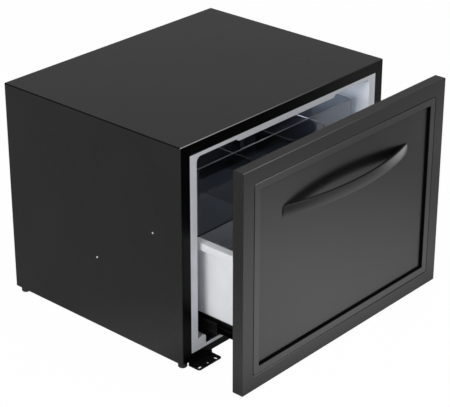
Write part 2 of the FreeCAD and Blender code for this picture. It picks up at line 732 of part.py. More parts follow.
def fan_frame(size, y0, depth):
    """Square frame with a round bore, and arms at the back that hold the bearing."""
    y1 = y0 + depth
    bore = size / 2 - FAN_WALL
    arm_depth = depth * FAN_ARM_SHARE
    ring = upright_prism(fan_corners(size), y0, y1)
    ring = ring.cut(rod(0, y0 - CUT_OVERRUN, COLD_UNIT_Z, ALONG_Y, bore, depth + 2 * CUT_OVERRUN))
    y2 = y1 - arm_depth
    half = FAN_ARM_WIDTH / 2
    reach = bore + FIT
    arms = slab(reach, y2, y1, COLD_UNIT_Z - half, COLD_UNIT_Z + half)
    upright = slab(half, y2, y1, COLD_UNIT_Z - reach, COLD_UNIT_Z + reach)
    boss = rod(0, y2, COLD_UNIT_Z, ALONG_Y, bore * FAN_HUB_SHARE, arm_depth)
    frame = ring.fuse([arms, upright, boss]).removeSplitter()
    bearing = FAN_SHAFT / 2 + RUNNING_FIT
    return frame.cut(rod(0, y0, COLD_UNIT_Z, ALONG_Y, bearing, depth + CUT_OVERRUN))


def blade_section(radius, y, chord, pitch):
    """Blade outline at one radius, turned by `pitch` out of the plane of rotation."""
    turn = math.radians(pitch)
    along = Vector(math.cos(turn), math.sin(turn), 0) * (chord / 2)
    across = Vector(-math.sin(turn), math.cos(turn), 0) * (FAN_BLADE_THICKNESS / 2)
    centre = Vector(0, y, COLD_UNIT_Z + radius)
    front = centre - across
    back = centre + across
    points = [front - along, front + along, back + along, back - along]
    return Part.makePolygon(points + points[:1])


def fan_rotor(size, y0, depth):
    """Hub, twisted blades and the shaft that runs in the frame's bearing."""
    tip = size / 2 - FAN_WALL - FAN_TIP_GAP
    hub = (size / 2 - FAN_WALL) * FAN_HUB_SHARE
    front = y0 + FAN_TIP_GAP
    back = y0 + depth * (1 - FAN_ARM_SHARE) - FAN_TIP_GAP
    middle = (front + back) / 2
    chord = (back - front) * FAN_BLADE_SHARE / math.sin(math.radians(FAN_ROOT_PITCH))
    rotor = rod(0, front, COLD_UNIT_Z, ALONG_Y, hub, back - front)
    root = blade_section(hub - FAN_BLADE_SINK, middle, chord, FAN_ROOT_PITCH)
    end = blade_section(tip, middle, chord, FAN_TIP_PITCH)
    blade = Part.makeLoft([root, end], True, True)
    reach = rod(0, y0, COLD_UNIT_Z, ALONG_Y, tip, depth)
    blade = blade.common(reach)
    blades = []
    for i in range(FAN_BLADES):
        copy = blade.copy()
        copy.rotate(Vector(0, 0, COLD_UNIT_Z), ALONG_Y, 360 * i / FAN_BLADES)
        blades.append(copy)
    shaft = rod(0, middle, COLD_UNIT_Z, ALONG_Y, FAN_SHAFT / 2, y0 + depth - middle)
    return rotor.fuse(blades + [shaft]).removeSplitter()


def fan_screws():
    """Long screws through the hot fan's corners into the tips of the sink's fins."""
    return screws(FAN_SCREWS, -ALONG_Y, HOT_FAN_DEPTH + FAN_SCREW_BITE)


def fan_drilled(shape):
    return drilled(shape, FAN_SCREWS, -ALONG_Y, HOT_FAN_DEPTH + FAN_SCREW_BITE)


def block(size, y0, y1):
    half = size / 2
    return slab(half, y0, y1, COLD_UNIT_Z - half, COLD_UNIT_Z + half)


def round_grille(radius, end_radius, y0, y1):
    """Level slots whose ends follow a circle, one above the other."""
    slots = []
    rows = int((radius - GRILLE_SLOT) // GRILLE_PITCH)
    for i in range(-rows, rows + 1):
        z = COLD_UNIT_Z + i * GRILLE_PITCH
        half = math.sqrt(radius**2 - (i * GRILLE_PITCH) ** 2)
        corners = rectangle(-half, half, z - GRILLE_SLOT / 2, z + GRILLE_SLOT / 2, end_radius)
        slots.append(upright_prism(corners, y0, y1))
    return slots


def slot_row(x0, z0, count, length, end_radius, y0, y1):
    """Upright slots side by side, centred on x0."""
    slots = []
    for i in range(count):
        x = x0 + (i - (count - 1) / 2) * GRILLE_PITCH
        corners = rectangle(x - GRILLE_SLOT / 2, x + GRILLE_SLOT / 2, z0, z0 + length, end_radius)
        slots.append(upright_prism(corners, y0, y1))
    return slots


def duct_cover():
    """Black moulded cover on the back wall, with the fan's grille and the return slots."""
    half = LINER_HALF - COVER_MARGIN
    low = LEDGE_TOP + COVER_MARGIN
    corners = rectangle(-half, half, low, DROPPED_CEILING - COVER_MARGIN, COVER_CORNER)
    cover = upright_prism(corners, COVER_FRONT, COVER_BACK)
    y0 = COVER_FRONT - CUT_OVERRUN
    y1 = COVER_BACK + CUT_OVERRUN
    cuts = round_grille(COLD_FAN_SIZE / 2 - FAN_WALL, 0, y0, y1)
    cuts += slot_row(0, low + RETURN_RISE, RETURN_SLOTS, RETURN_SLOT_LENGTH, 0, y0, y1)
    return drilled(cover.cut(Part.makeCompound(cuts)), COVER_SCREWS, ALONG_Y)


def inlet_corners(grow):
    half = INLET_WIDTH / 2 + grow
    low = INLET_Z - INLET_HEIGHT / 2 - grow
    high = INLET_Z + INLET_HEIGHT / 2 + grow
    return rectangle(INLET_X - half, INLET_X + half, low, high, INLET_CORNER)


def rear_panel():
    """Sheet that closes the back, punched for the fan's grille, the intake and the inlet."""
    inner = HALF_WIDTH - CABINET_SHEET - FIT
    panel = slab(inner, REAR_PANEL_FRONT, REAR_PANEL_BACK, UNDERSIDE + FIT, ROOF - CABINET_SHEET - FIT)
    y0 = REAR_PANEL_FRONT - CUT_OVERRUN
    y1 = REAR_PANEL_BACK + CUT_OVERRUN
    end_radius = GRILLE_SLOT / 2
    cuts = round_grille(HOT_FAN_SIZE / 2 - FAN_WALL, end_radius, y0, y1)
    for x in (-INTAKE_SIDE_OFFSET, INTAKE_SIDE_OFFSET):
        cuts += slot_row(x, BASE_TOP + INTAKE_RISE, INTAKE_SLOTS, INTAKE_SLOT_LENGTH, end_radius, y0, y1)
    cuts.append(upright_prism(inlet_corners(FIT), y0, y1))
    panel = panel.cut(Part.makeCompound(cuts))
    return drilled(panel, REAR_SCREWS, -ALONG_Y)


def power_inlet():
    """Socket for a separate mains lead: a body in the bay, a flange outside."""
    front = REAR_PANEL_BACK - INLET_DEPTH
    back = REAR_PANEL_BACK + INLET_FLANGE_THICKNESS
    body = upright_prism(inlet_corners(0), front, back)
    flange = upright_prism(inlet_corners(INLET_FLANGE), REAR_PANEL_BACK, back)
    socket = upright_prism(inlet_corners(-INLET_WALL), front + INLET_FLOOR, back + CUT_OVERRUN)
    return body.fuse(flange).cut(socket).removeSplitter()


def inlet_pins():
    """Three flat pins on the socket's floor, the middle one lower."""
    y0 = REAR_PANEL_BACK - INLET_DEPTH + INLET_FLOOR
    pins = []
    for i in (-1, 0, 1):
        x = INLET_X + i * INLET_PIN_PITCH
        z = INLET_Z - INLET_PIN_HEIGHT / 2 - (0 if i else INLET_PIN_DROP)
        half = INLET_PIN_WIDTH / 2
        pins.append(box(x - half, x + half, y0, y0 + INLET_PIN_LENGTH, z, z + INLET_PIN_HEIGHT))
    return Part.makeCompound(pins)


def power_supply():
    """Folded box on the rear panel's inner side, with a board space inside."""
    half = SUPPLY_WIDTH / 2
    sheet = SUPPLY_SHEET
    back = REAR_PANEL_FRONT
    front = back - SUPPLY_DEPTH
    corners = rectangle(SUPPLY_X - half, SUPPLY_X + half, SUPPLY_LOW, SUPPLY_HIGH, SUPPLY_CORNER)
    case = upright_prism(corners, front, back)
    hollow = slab(half - sheet, front + sheet, back, SUPPLY_LOW + sheet, SUPPLY_HIGH - sheet)
    hollow.translate(Vector(SUPPLY_X, 0, 0))
    return case.cut(hollow)


def supply_board():
    """Circuit board with its transformer and capacitors, as one assembly."""
    half = SUPPLY_WIDTH / 2 - SUPPLY_SHEET - FIT
    low = SUPPLY_LOW + SUPPLY_SHEET + FIT
    high = SUPPLY_HIGH - SUPPLY_SHEET - FIT
    back = REAR_PANEL_FRONT - FIT
    face = back - SUPPLY_BOARD
    board = slab(half, face, back, low, high)
    core_low = low + SUPPLY_PART_MARGIN
    core_high = core_low + SUPPLY_CORE
    parts = [slab(SUPPLY_CORE / 2, face - SUPPLY_PART_HEIGHT, face, core_low, core_high)]
    front = face - SUPPLY_PART_HEIGHT
    z = high - SUPPLY_PART_MARGIN
    for x in (-SUPPLY_CORE / 2, 0, SUPPLY_CORE / 2):
        parts.append(rod(x, front, z, ALONG_Y, SUPPLY_CAPACITOR / 2, SUPPLY_PART_HEIGHT))
    board = board.fuse(parts).removeSplitter()
    board.translate(Vector(SUPPLY_X, 0, 0))
    return board


def lead(points, radius):
    """Round lead through the points, with a tangent arc at each bend."""
    edges = []
    last = points[0]
    for i in range(1, len(points) - 1):
        before = (points[i - 1] - points[i]).normalize()
        after = (points[i + 1] - points[i]).normalize()
        half_turn = before.getAngle(after) / 2
        reach = LEAD_BEND / math.tan(half_turn)
        start = points[i] + before * reach
        end = points[i] + after * reach
        middle = (before + after).normalize()
        top = points[i] + middle * (LEAD_BEND / math.sin(half_turn) - LEAD_BEND)
        edges.append(Part.makeLine(last, start))
        edges.append(Part.Arc(start, top, end).toShape())
        last = end
    edges.append(Part.makeLine(last, points[-1]))
    path = Part.Wire(edges)
    profile = Part.Wire([Part.makeCircle(radius, points[0], points[1] - points[0])])
    return path.makePipeShell([profile], True, True)


def internal_leads():
    """Lead from the inlet up to the supply, and one from the supply to the hot fan."""
    radius = LEAD_DIAMETER / 2
    y = REAR_PANEL_BACK - INLET_DEPTH
    y_supply = REAR_PANEL_FRONT - SUPPLY_DEPTH / 2
    z_turn = (INLET_Z + SUPPLY_LOW) / 2
    mains = [
        Vector(INLET_X, y, INLET_Z),
        Vector(INLET_X, y - LEAD_STUB, INLET_Z),
        Vector(INLET_X, y - LEAD_STUB, z_turn),
        Vector(INLET_X, y_supply, z_turn),
        Vector(INLET_X, y_supply, SUPPLY_LOW),
    ]
    y_fan = (HOT_FAN_FRONT + HOT_FAN_BACK) / 2
    x0 = SUPPLY_X - SUPPLY_WIDTH / 2
    x1 = HOT_FAN_SIZE / 2
    top = COLD_UNIT_Z
    low = top - LEAD_SAG
    fan = [
        Vector(x0, y_fan, top),
        Vector(x0 - LEAD_STUB, y_fan, top),
        Vector(x0 - LEAD_STUB, y_fan, low),
        Vector(x1 + LEAD_STUB, y_fan, low),
        Vector(x1 + LEAD_STUB, y_fan, top),
        Vector(x1, y_fan, top),
    ]
    return Part.makeCompound([lead(mains, radius), lead(fan, radius)])


def drip_tray():
    """Open tray on the base under the drain, where the meltwater dries off."""
    half = DRIP_TRAY_WIDTH / 2
    y0 = INSULATION_BACK + DRIP_TRAY_GAP
    y1 = REAR_PANEL_FRONT - DRIP_TRAY_GAP
    wall = DRIP_TRAY_WALL
    top = BASE_TOP + DRIP_TRAY_HEIGHT
    outer = level_prism(rectangle(-half, half, y0, y1, DRIP_TRAY_CORNER), BASE_TOP, top)
    corners = rectangle(-half + wall, half - wall, y0 + wall, y1 - wall, DRIP_TRAY_CORNER - wall)
    return outer.cut(level_prism(corners, BASE_TOP + wall, top + CUT_OVERRUN))


def channel(web_x, lip_x, height, y0, y1):
    """Steel C section: web at web_x, flanges reaching to lip_x."""
    low = SLIDE_Z - height / 2
    high = SLIDE_Z + height / 2
    x0, x1 = sorted((web_x, lip_x))
    section = box(x0, x1, y0, y1, low, high)
    sense = 1 if lip_x > web_x else -1
    a, b = sorted((web_x + sense * SLIDE_STEEL, lip_x + sense * CUT_OVERRUN))
    return section.cut(box(a, b, y0 - CUT_OVERRUN, y1 + CUT_OVERRUN, low + SLIDE_STEEL, high - SLIDE_STEEL))


def outer_slide():
    """Right fixed member, its web on the bracket."""
    return channel(SLIDE_OUTER_FACE, SLIDE_LIP, SLIDE_HEIGHT, SLIDE_FRONT, SLIDE_REAR)


def middle_slide():
    """Right middle member, drawn half as far out as the drawer."""
    shift = -REST_OPENING * MIDDLE_SHARE
    return channel(MIDDLE_WEB, SLIDE_LIP, MIDDLE_HEIGHT, SLIDE_FRONT + shift, SLIDE_REAR + shift)


def inner_slide():
    """Right inner member, its web on the basket frame's rail."""
    shift = -REST_OPENING
    lip = MIDDLE_WEB - SLIDE_STEEL - SLIDE_WEB_GAP
    return channel(SLIDE_INNER_FACE, lip, INNER_HEIGHT, SLIDE_FRONT + shift, SLIDE_REAR + shift)


def ball_cage(web_face, height, opening_share):
    """U strip between two members, with the balls that run in it above and below.

    web_face is the larger member's web, height the smaller member's, and the cage
    follows the drawer's opening by opening_share.
    """
    middle = (SLIDE_FRONT + SLIDE_REAR) / 2 - REST_OPENING * opening_share
    y0 = middle - CAGE_LENGTH / 2
    y1 = middle + CAGE_LENGTH / 2
    x1 = web_face - (SLIDE_WEB_GAP - CAGE_STEEL) / 2
    x0 = SLIDE_LIP + CAGE_EDGE
    ball_z = (height + SLIDE_BALL + SLIDE_BALL_GAP) / 2
    reach = ball_z + CAGE_STEEL / 2
    strip = box(x0, x1, y0, y1, SLIDE_Z - reach, SLIDE_Z + reach)
    low = SLIDE_Z - reach + CAGE_STEEL
    high = SLIDE_Z + reach - CAGE_STEEL
    inner_x = x1 - CAGE_STEEL
    hollow = box(x0 - CUT_OVERRUN, inner_x, y0 - CUT_OVERRUN, y1 + CUT_OVERRUN, low, high)
    cage = strip.cut(hollow)
    pitch = (CAGE_LENGTH - 2 * SLIDE_BALL) / (CAGE_BALLS - 1)
    balls = []
    for i in range(CAGE_BALLS):
        for z in (SLIDE_Z - ball_z, SLIDE_Z + ball_z):
            centre = Vector((x0 + inner_x) / 2, y0 + SLIDE_BALL + i * pitch, z)
            balls.append(Part.makeSphere(SLIDE_BALL / 2, centre))
    return cage.fuse(balls).removeSplitter()


def outer_cage():
    return ball_cage(SLIDE_OUTER_FACE - SLIDE_STEEL, MIDDLE_HEIGHT, OUTER_CAGE_SHARE)


def inner_cage():
    return ball_cage(MIDDLE_WEB - SLIDE_STEEL, INNER_HEIGHT, INNER_CAGE_SHARE)


def slide_bracket():
    """Angle that stands on the ledge and carries the fixed member."""
    x0 = SLIDE_OUTER_FACE
    web = box(x0, x0 + SLIDE_BRACKET_STEEL, SLIDE_FRONT, SLIDE_REAR, LEDGE_TOP, SLIDE_HIGH)
    foot_end = x0 + SLIDE_BRACKET_FOOT
    foot_plate = box(x0, foot_end, SLIDE_FRONT, SLIDE_REAR, LEDGE_TOP, LEDGE_TOP + SLIDE_BRACKET_STEEL)
    return web.fuse(foot_plate).removeSplitter()


def basket_frame():
    """Welded steel frame: two side rails and two cross members under the basket."""
    inner = FRAME_FACE - FRAME_RAIL_WIDTH
    frame = slab(FRAME_FACE, FRAME_FRONT, BASKET_BACK, SLIDE_LOW, FRAME_HIGH)
    web = FRAME_FACE - FRAME_STEEL
    y0 = FRAME_FRONT + FRAME_STEEL
    y1 = BASKET_BACK - FRAME_STEEL
    frame = frame.cut(slab(web, y0, y1, SLIDE_LOW - CUT_OVERRUN, FRAME_HIGH - FRAME_STEEL))
    front = FRAME_FRONT + FRAME_RAIL_WIDTH
    back = BASKET_BACK - FRAME_RAIL_WIDTH
    return frame.cut(slab(inner, front, back, SLIDE_LOW, FRAME_HIGH + CUT_OVERRUN))


def tub(half, y0, y1, z0, z1, radius, draft):
    """Solid with rounded corners that narrows downwards by `draft` on each side."""
    low = level_wire(rectangle(-half + draft, half - draft, y0 + draft, y1 - draft, radius), z0)
    high = level_wire(rectangle(-half, half, y0, y1, radius), z1)
    return Part.makeLoft([low, high], True)


def basket():
    """White basket: drafted tub with a flat rim and a lip that turns down."""
    half = BASKET_HALF - BASKET_RIM_WIDTH
    y0 = BASKET_FRONT + BASKET_RIM_WIDTH
    y1 = BASKET_BACK - BASKET_RIM_WIDTH
    wall = BASKET_WALL
    body = tub(half, y0, y1, BASKET_LOW, BASKET_RIM, BASKET_CORNER, BASKET_DRAFT)
    outer_radius = BASKET_CORNER + BASKET_RIM_WIDTH / 2
    rim_corners = rectangle(-BASKET_HALF, BASKET_HALF, BASKET_FRONT, BASKET_BACK, outer_radius)
    rim = level_prism(rim_corners, BASKET_RIM - BASKET_LIP, BASKET_RIM)
    inset = BASKET_HALF - wall
    under = rectangle(-inset, inset, BASKET_FRONT + wall, BASKET_BACK - wall, outer_radius - wall)
    rim = rim.cut(level_prism(under, BASKET_RIM - BASKET_LIP - CUT_OVERRUN, BASKET_RIM - wall))
    shape = rim.fuse(body)
    half -= wall
    y0 += wall
    y1 -= wall
    low = BASKET_LOW + wall
    hollow = tub(half, y0, y1, low, BASKET_RIM + FIT, BASKET_CORNER - wall, BASKET_DRAFT)
    shape = shape.cut(hollow).removeSplitter()
    return rounded(shape, BASKET_EDGE_RADIUS, at_plane_z(BASKET_RIM))


def clear_rack():
    """Clear tray with dividers that stands on the basket's side rims."""
    wall = RACK_WALL
    corners = rectangle(-RACK_HALF, RACK_HALF, RACK_FRONT, RACK_BACK, RACK_CORNER)
    rack = level_prism(corners, RACK_LOW, RACK_HIGH)
    half = RACK_HALF - wall
    y0 = RACK_FRONT + wall
    y1 = RACK_BACK - wall
    corners = rectangle(-half, half, y0, y1, RACK_CORNER - wall)
    rack = rack.cut(level_prism(corners, RACK_LOW + wall, RACK_HIGH + CUT_OVERRUN))
    top = RACK_LOW + (RACK_HIGH - RACK_LOW) * RACK_DIVIDER_HEIGHT_SHARE
    for share in RACK_DIVIDER_SHARES:
        x = RACK_HALF * share
        rack = rack.fuse(box(x - wall / 2, x + wall / 2, y0 - FIT, y1 + FIT, RACK_LOW + FIT, top))
    return rack.removeSplitter()


def door_frame():
    """Outer frame of the drawer front, one welded ring."""
    outer = upright_prism(front_rectangle(0, FRAME_EDGE_RADIUS), FRONT_FACE, FRONT_BACK)
    opening = front_rectangle(FRAME_WIDTH, GROOVE_CORNER)
    frame = outer.cut(upright_prism(opening, FRONT_FACE - CUT_OVERRUN, FRONT_BACK + CUT_OVERRUN))
    return rounded(frame, FRAME_FACE_RADIUS, at_plane_y(FRONT_FACE))


def door_inset_frame():
    """Inner band between the groove and the recess."""
    corner = GROOVE_CORNER - GROOVE_WIDTH
    band = upright_prism(front_rectangle(GROOVE_INSET, corner), FRONT_FACE, BACK_PLATE_FRONT)
    band = rounded(band, INSET_EDGE_RADIUS, at_plane_y(FRONT_FACE))
    hole = front_rectangle(RECESS_INSET, 0)
    return band.cut(upright_prism(hole, FRONT_FACE - CUT_OVERRUN, FRONT_BACK))


def door_recess_trim():
    """Black lining of the recess's four walls."""
    ring = upright_prism(front_rectangle(RECESS_INSET, 0), FRONT_FACE + RECESS_TRIM, RECESS_FACE)
    hole = front_rectangle(RECESS_INSET + RECESS_TRIM, 0)
    return ring.cut(upright_prism(hole, FRONT_FACE, FRONT_BACK))


def door_centre_panel():
    panel = upright_prism(front_rectangle(RECESS_INSET, 0), RECESS_FACE, CORE_FRONT)
    return drilled(panel, HANDLE_SCREWS, -ALONG_Y, CENTRE_PANEL)


def door_core():
    """Board behind the centre panel, with room for the handle screws' heads."""
    core = upright_prism(front_rectangle(RECESS_INSET, 0), CORE_FRONT, BACK_PLATE_FRONT)
    radius = SCREW_HEAD / 2 + FIT
    depth = BACK_PLATE_FRONT - CORE_FRONT + CUT_OVERRUN
    for p in HANDLE_SCREWS:
        core = core.cut(rod(p.x, p.y, p.z, ALONG_Y, radius, depth))
    return core


def door_back_plate():
    plate = front_rectangle(FRAME_WIDTH + FIT, GROOVE_CORNER)
    return upright_prism(plate, BACK_PLATE_FRONT, FRONT_BACK)


def bow_handle():
    """Strip with a crowned front, turned about a far upright axis and cut at the panel."""
    half = HANDLE_SPAN / 2
    sagitta = HANDLE_PROJECTION - HANDLE_END_THICKNESS
    radius = (half**2 + sagitta**2) / (2 * sagitta)
    centre_y = RECESS_FACE - HANDLE_PROJECTION + radius
    y_front = centre_y - radius
    low = HANDLE_Z - HANDLE_HEIGHT / 2
    high = HANDLE_Z + HANDLE_HEIGHT / 2
    shoulder = y_front + HANDLE_CROWN
    back = y_front + HANDLE_THICKNESS
    lower = Vector(0, shoulder, low)
    upper = Vector(0, shoulder, high)
    edges = [
        Part.makeLine(Vector(0, back, low), lower),
        Part.Arc(lower, Vector(0, y_front, HANDLE_Z), upper).toShape(),
        Part.makeLine(upper, Vector(0, back, high)),
        Part.makeLine(Vector(0, back, high), Vector(0, back, low)),
    ]
    section = Part.Face(Part.Wire(edges))
    spread = 2 * math.degrees(math.asin(half / radius))
    section.rotate(Vector(0, centre_y, 0), ALONG_Z, -spread)
    strip = section.revolve(Vector(0, centre_y, 0), ALONG_Z, 2 * spread)
    behind = slab(HANDLE_SPAN, RECESS_FACE, centre_y, low - CUT_OVERRUN, high + CUT_OVERRUN)
    strip = strip.cut(behind)
    ends = rectangle(-half, half, low, high, HANDLE_END_RADIUS)
    strip = strip.common(upright_prism(ends, y_front - CUT_OVERRUN, RECESS_FACE))
    for p in HANDLE_SCREWS:
        strip = strip.cut(screw_hole(Vector(p.x, RECESS_FACE, p.z), -ALONG_Y, HANDLE_SCREW_BITE))
    return strip


def handle_screws():
    return screws(HANDLE_SCREWS, -ALONG_Y, CENTRE_PANEL + HANDLE_SCREW_BITE)


def ring(half, low, high, width, radius, y0, y1):
    """Rectangular ring in X and Z, `width` wide."""
    outer = upright_prism(rectangle(-half, half, low, high, radius), y0, y1)
    inner = rectangle(-half + width, half - width, low + width, high - width, radius / 2)
    return outer.cut(upright_prism(inner, y0 - CUT_OVERRUN, y1 + CUT_OVERRUN))


def door_gasket():
    """Magnetic seal: a base strip, bellows and the head that meets the flange."""
    half = RIM_HALF - GASKET_EDGE_GAP
    low = RIM_LOW + GASKET_EDGE_GAP
    high = RIM_HIGH - GASKET_EDGE_GAP
    y0 = FRONT_BACK
    y1 = FRONT_BACK + GASKET_BASE
    y2 = FRONT_BACK + GASKET_DEPTH - GASKET_HEAD
    y3 = FRONT_BACK + GASKET_DEPTH
    inset = GASKET_BELLOWS_INSET
    width = GASKET_WIDTH - 2 * inset
    base = ring(half, low, high, GASKET_WIDTH, GASKET_CORNER, y0, y1)
    bellows = ring(half - inset, low + inset, high - inset, width, GASKET_CORNER, y1, y2)
    head = ring(half, low, high, GASKET_WIDTH, GASKET_CORNER, y2, y3)
    return base.fuse([bellows, head]).removeSplitter()


def plug_wire(inset, y, draft):
    grow = inset + draft
    half = PLUG_HALF - grow
    return upright_wire(rectangle(-half, half, PLUG_LOW + grow, PLUG_HIGH - grow, PLUG_CORNER), y)


def plug(inset, back):
    """Solid with rounded corners that narrows towards the cavity."""
    wires = [plug_wire(inset, FRONT_BACK, 0), plug_wire(inset, back, PLUG_DRAFT)]
    return Part.makeLoft(wires, True)


def inner_door():
    """Formed plastic plug that stands into the cavity when the drawer is shut."""
    return plug(0, PLUG_BACK).cut(plug(PLUG_WALL, PLUG_BACK - PLUG_WALL))


def inner_door_foam():
    return plug(PLUG_WALL + FIT, PLUG_BACK - PLUG_WALL - FIT)


def control_corners(grow):
    half = CONTROL_WIDTH / 2 + grow
    return rectangle(-half, half, CONTROL_SETBACK - grow, CONTROL_BACK + grow, CONTROL_CORNER)


def lamp_corners(grow):
    x = -LAMP_OFFSET
    half = LAMP_WIDTH / 2 + grow
    length = LAMP_LENGTH / 2 + grow
    return rectangle(x - half, x + half, CONTROL_Y - length, CONTROL_Y + length, CONTROL_CORNER)


def control_housing():
    """Shallow box under the ceiling for the lamp and the thermostat."""
    housing = level_prism(control_corners(0), CONTROL_LOW, DROPPED_CEILING)
    housing = rounded(housing, CONTROL_CORNER / 2, at_plane_z(CONTROL_LOW))
    housing = housing.cut(level_prism(lamp_corners(FIT), 0, CONTROL_LOW + LAMP_DEPTH))
    bore = KNOB_SPINDLE / 2 + RUNNING_FIT
    top = CONTROL_LOW + KNOB_SPINDLE_LENGTH
    return housing.cut(rod(KNOB_OFFSET, CONTROL_Y, 0, ALONG_Z, bore, top))


def lamp_lens():
    return level_prism(lamp_corners(0), CONTROL_LOW, CONTROL_LOW + LAMP_DEPTH - FIT)


def temperature_knob():
    """Turned knob with a grip bar across it, on a spindle into the housing."""
    top = CONTROL_LOW - FIT
    disc = rod(KNOB_OFFSET, CONTROL_Y, top - KNOB_HEIGHT, ALONG_Z, KNOB_DIAMETER / 2, KNOB_HEIGHT)
    disc = chamfered(disc, KNOB_CHAMFER, at_plane_z(top - KNOB_HEIGHT))
    half = KNOB_GRIP_WIDTH / 2
    length = KNOB_DIAMETER / 2 - KNOB_CHAMFER
    left = KNOB_OFFSET - half
    right = KNOB_OFFSET + half
    corners = rectangle(left, right, CONTROL_Y - length, CONTROL_Y + length, half / 2)
    grip = level_prism(corners, top - KNOB_HEIGHT - KNOB_GRIP_HEIGHT, top - KNOB_HEIGHT)
    spindle = rod(KNOB_OFFSET, CONTROL_Y, top, ALONG_Z, KNOB_SPINDLE / 2, KNOB_SPINDLE_LENGTH)
    return disc.fuse([grip, spindle]).removeSplitter()


def export(shape, node):
    moved = shape.copy()
    moved.translate(Vector(0, -CABINET_DEPTH / 2, -UNDERSIDE))
    moved.exportStep(f"parts/{node}.step")


def main():
    os.makedirs("parts", exist_ok=True)

    # Cabinet
    export(cabinet_shell(), "cabinet_shell")
    export(base_panel(), "base_panel")
    export(rear_panel(), "rear_panel")
    export(foam_insulation(), "foam_insulation")
    export(inner_liner(), "inner_liner")
    export(well_mat(), "well_mat")
    export(Part.makeCompound([foot(x, y) for x, y in FOOT_PLACES]), "feet")
    bracket = fixing_bracket()
    export(bracket, "fixing_bracket_left")
    export(mirrored(bracket), "fixing_bracket_right")
    export(both_sides(screws(BRACKET_SCREWS, ALONG_Z)), "bracket_screws")
    export(both_sides(screws(SIDE_SCREWS, ALONG_X, head=SIDE_SCREW_HEAD)), "side_screws")
    export(screws(REAR_SCREWS, -ALONG_Y), "rear_screws")

    # Cooling unit
    export(fan_frame(COLD_FAN_SIZE, COLD_FAN_FRONT, COLD_FAN_DEPTH), "cold_fan_frame")
    export(fan_rotor(COLD_FAN_SIZE, COLD_FAN_FRONT, COLD_FAN_DEPTH), "cold_fan_rotor")
    cold = heat_sink(COLD_SINK_SIZE, COLD_SINK_SIZE, SPACER_FRONT, COLD_SINK_FRONT, COLD_SINK_FINS)
    export(cold, "cold_sink")
    export(block(SPACER_SIZE, SPACER_FRONT, MODULE_FRONT), "cold_spacer")
    export(block(MODULE_SIZE, MODULE_FRONT, MODULE_BACK), "thermoelectric_module")
    hot = heat_sink(HOT_SINK_WIDTH, HOT_SINK_HEIGHT, INSULATION_BACK, HOT_SINK_BACK, HOT_SINK_FINS)
    export(fan_drilled(hot), "hot_sink")
    export(fan_drilled(fan_frame(HOT_FAN_SIZE, HOT_FAN_FRONT, HOT_FAN_DEPTH)), "hot_fan_frame")
    export(fan_screws(), "hot_fan_screws")
    export(fan_rotor(HOT_FAN_SIZE, HOT_FAN_FRONT, HOT_FAN_DEPTH), "hot_fan_rotor")
    export(duct_cover(), "duct_cover")
    export(screws(COVER_SCREWS, ALONG_Y), "cover_screws")
    export(internal_leads(), "internal_leads")
    export(power_inlet(), "power_inlet")
    export(inlet_pins(), "inlet_pins")
    export(power_supply(), "power_supply_case")
    export(supply_board(), "power_supply_board")
    export(drip_tray(), "drip_tray")
    export(drain_tube(), "drain_tube")
    export(control_housing(), "control_housing")
    export(lamp_lens(), "lamp_lens")
    export(temperature_knob(), "temperature_knob")

    # Slides, each right member and its mirror image
    for shape, node in (
        (slide_bracket(), "slide_bracket"),
        (outer_slide(), "slide_outer"),
        (middle_slide(), "slide_middle"),
        (inner_slide(), "slide_inner"),
        (outer_cage(), "ball_cage_outer"),
        (inner_cage(), "ball_cage_inner"),
    ):
        export(shape, f"{node}_right")
        export(mirrored(shape), f"{node}_left")

    # Drawer
    export(door_frame(), "door_frame")
    export(door_inset_frame(), "door_inset_frame")
    export(door_recess_trim(), "door_recess_trim")
    export(door_centre_panel(), "door_centre_panel")
    export(door_core(), "door_core")
    export(door_back_plate(), "door_back_plate")
    export(bow_handle(), "bow_handle")
    export(handle_screws(), "handle_screws")
    export(inner_door(), "inner_door")
    export(inner_door_foam(), "inner_door_foam")
    export(door_gasket(), "door_gasket")
    export(basket_frame(), "basket_frame")
    export(basket(), "basket")
    export(clear_rack(), "clear_rack")


main()
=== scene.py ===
import json
import math

import bmesh
import bpy
from mathutils import Matrix, Vector


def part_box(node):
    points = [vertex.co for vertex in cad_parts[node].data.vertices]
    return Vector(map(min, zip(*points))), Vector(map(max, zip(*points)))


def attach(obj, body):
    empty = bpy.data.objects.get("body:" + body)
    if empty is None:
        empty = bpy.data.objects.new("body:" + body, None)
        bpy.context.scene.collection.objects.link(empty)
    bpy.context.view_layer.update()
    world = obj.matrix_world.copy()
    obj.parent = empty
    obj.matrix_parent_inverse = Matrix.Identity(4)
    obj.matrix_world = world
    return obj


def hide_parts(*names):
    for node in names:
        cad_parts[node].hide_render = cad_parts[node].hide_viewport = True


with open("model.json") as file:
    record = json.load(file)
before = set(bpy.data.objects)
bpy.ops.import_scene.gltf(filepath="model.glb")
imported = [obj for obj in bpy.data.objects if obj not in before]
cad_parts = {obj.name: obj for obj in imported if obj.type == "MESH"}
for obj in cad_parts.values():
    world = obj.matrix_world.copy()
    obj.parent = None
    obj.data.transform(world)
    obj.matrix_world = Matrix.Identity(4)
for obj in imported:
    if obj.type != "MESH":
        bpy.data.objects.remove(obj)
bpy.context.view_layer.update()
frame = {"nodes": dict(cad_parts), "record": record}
NODES = frame["nodes"]

# Metres, in the row frame: X right, Y back, Z up, origin on the middle of the cabinet's underside.
FLOOR = -0.012
WELD = 0.000001
CORNER_STEPS = 12
FILLET_STEPS = 5
TURN_STEPS = 28
SHARP_ANGLE = math.radians(32)

# Basket. Further in than its draft the corners grow tighter, by a share of the way.
BASKET_RIM_WIDTH = 0.014
BASKET_LIP = 0.014
BASKET_WALL = 0.0025
BASKET_DRAFT = 0.004
BASKET_CORNER = 0.018
BASKET_RIM_CORNER = 0.025
BASKET_CORNER_LOSS = 0.5
BASKET_EDGE = 0.0011
BASKET_FOOT = 0.006

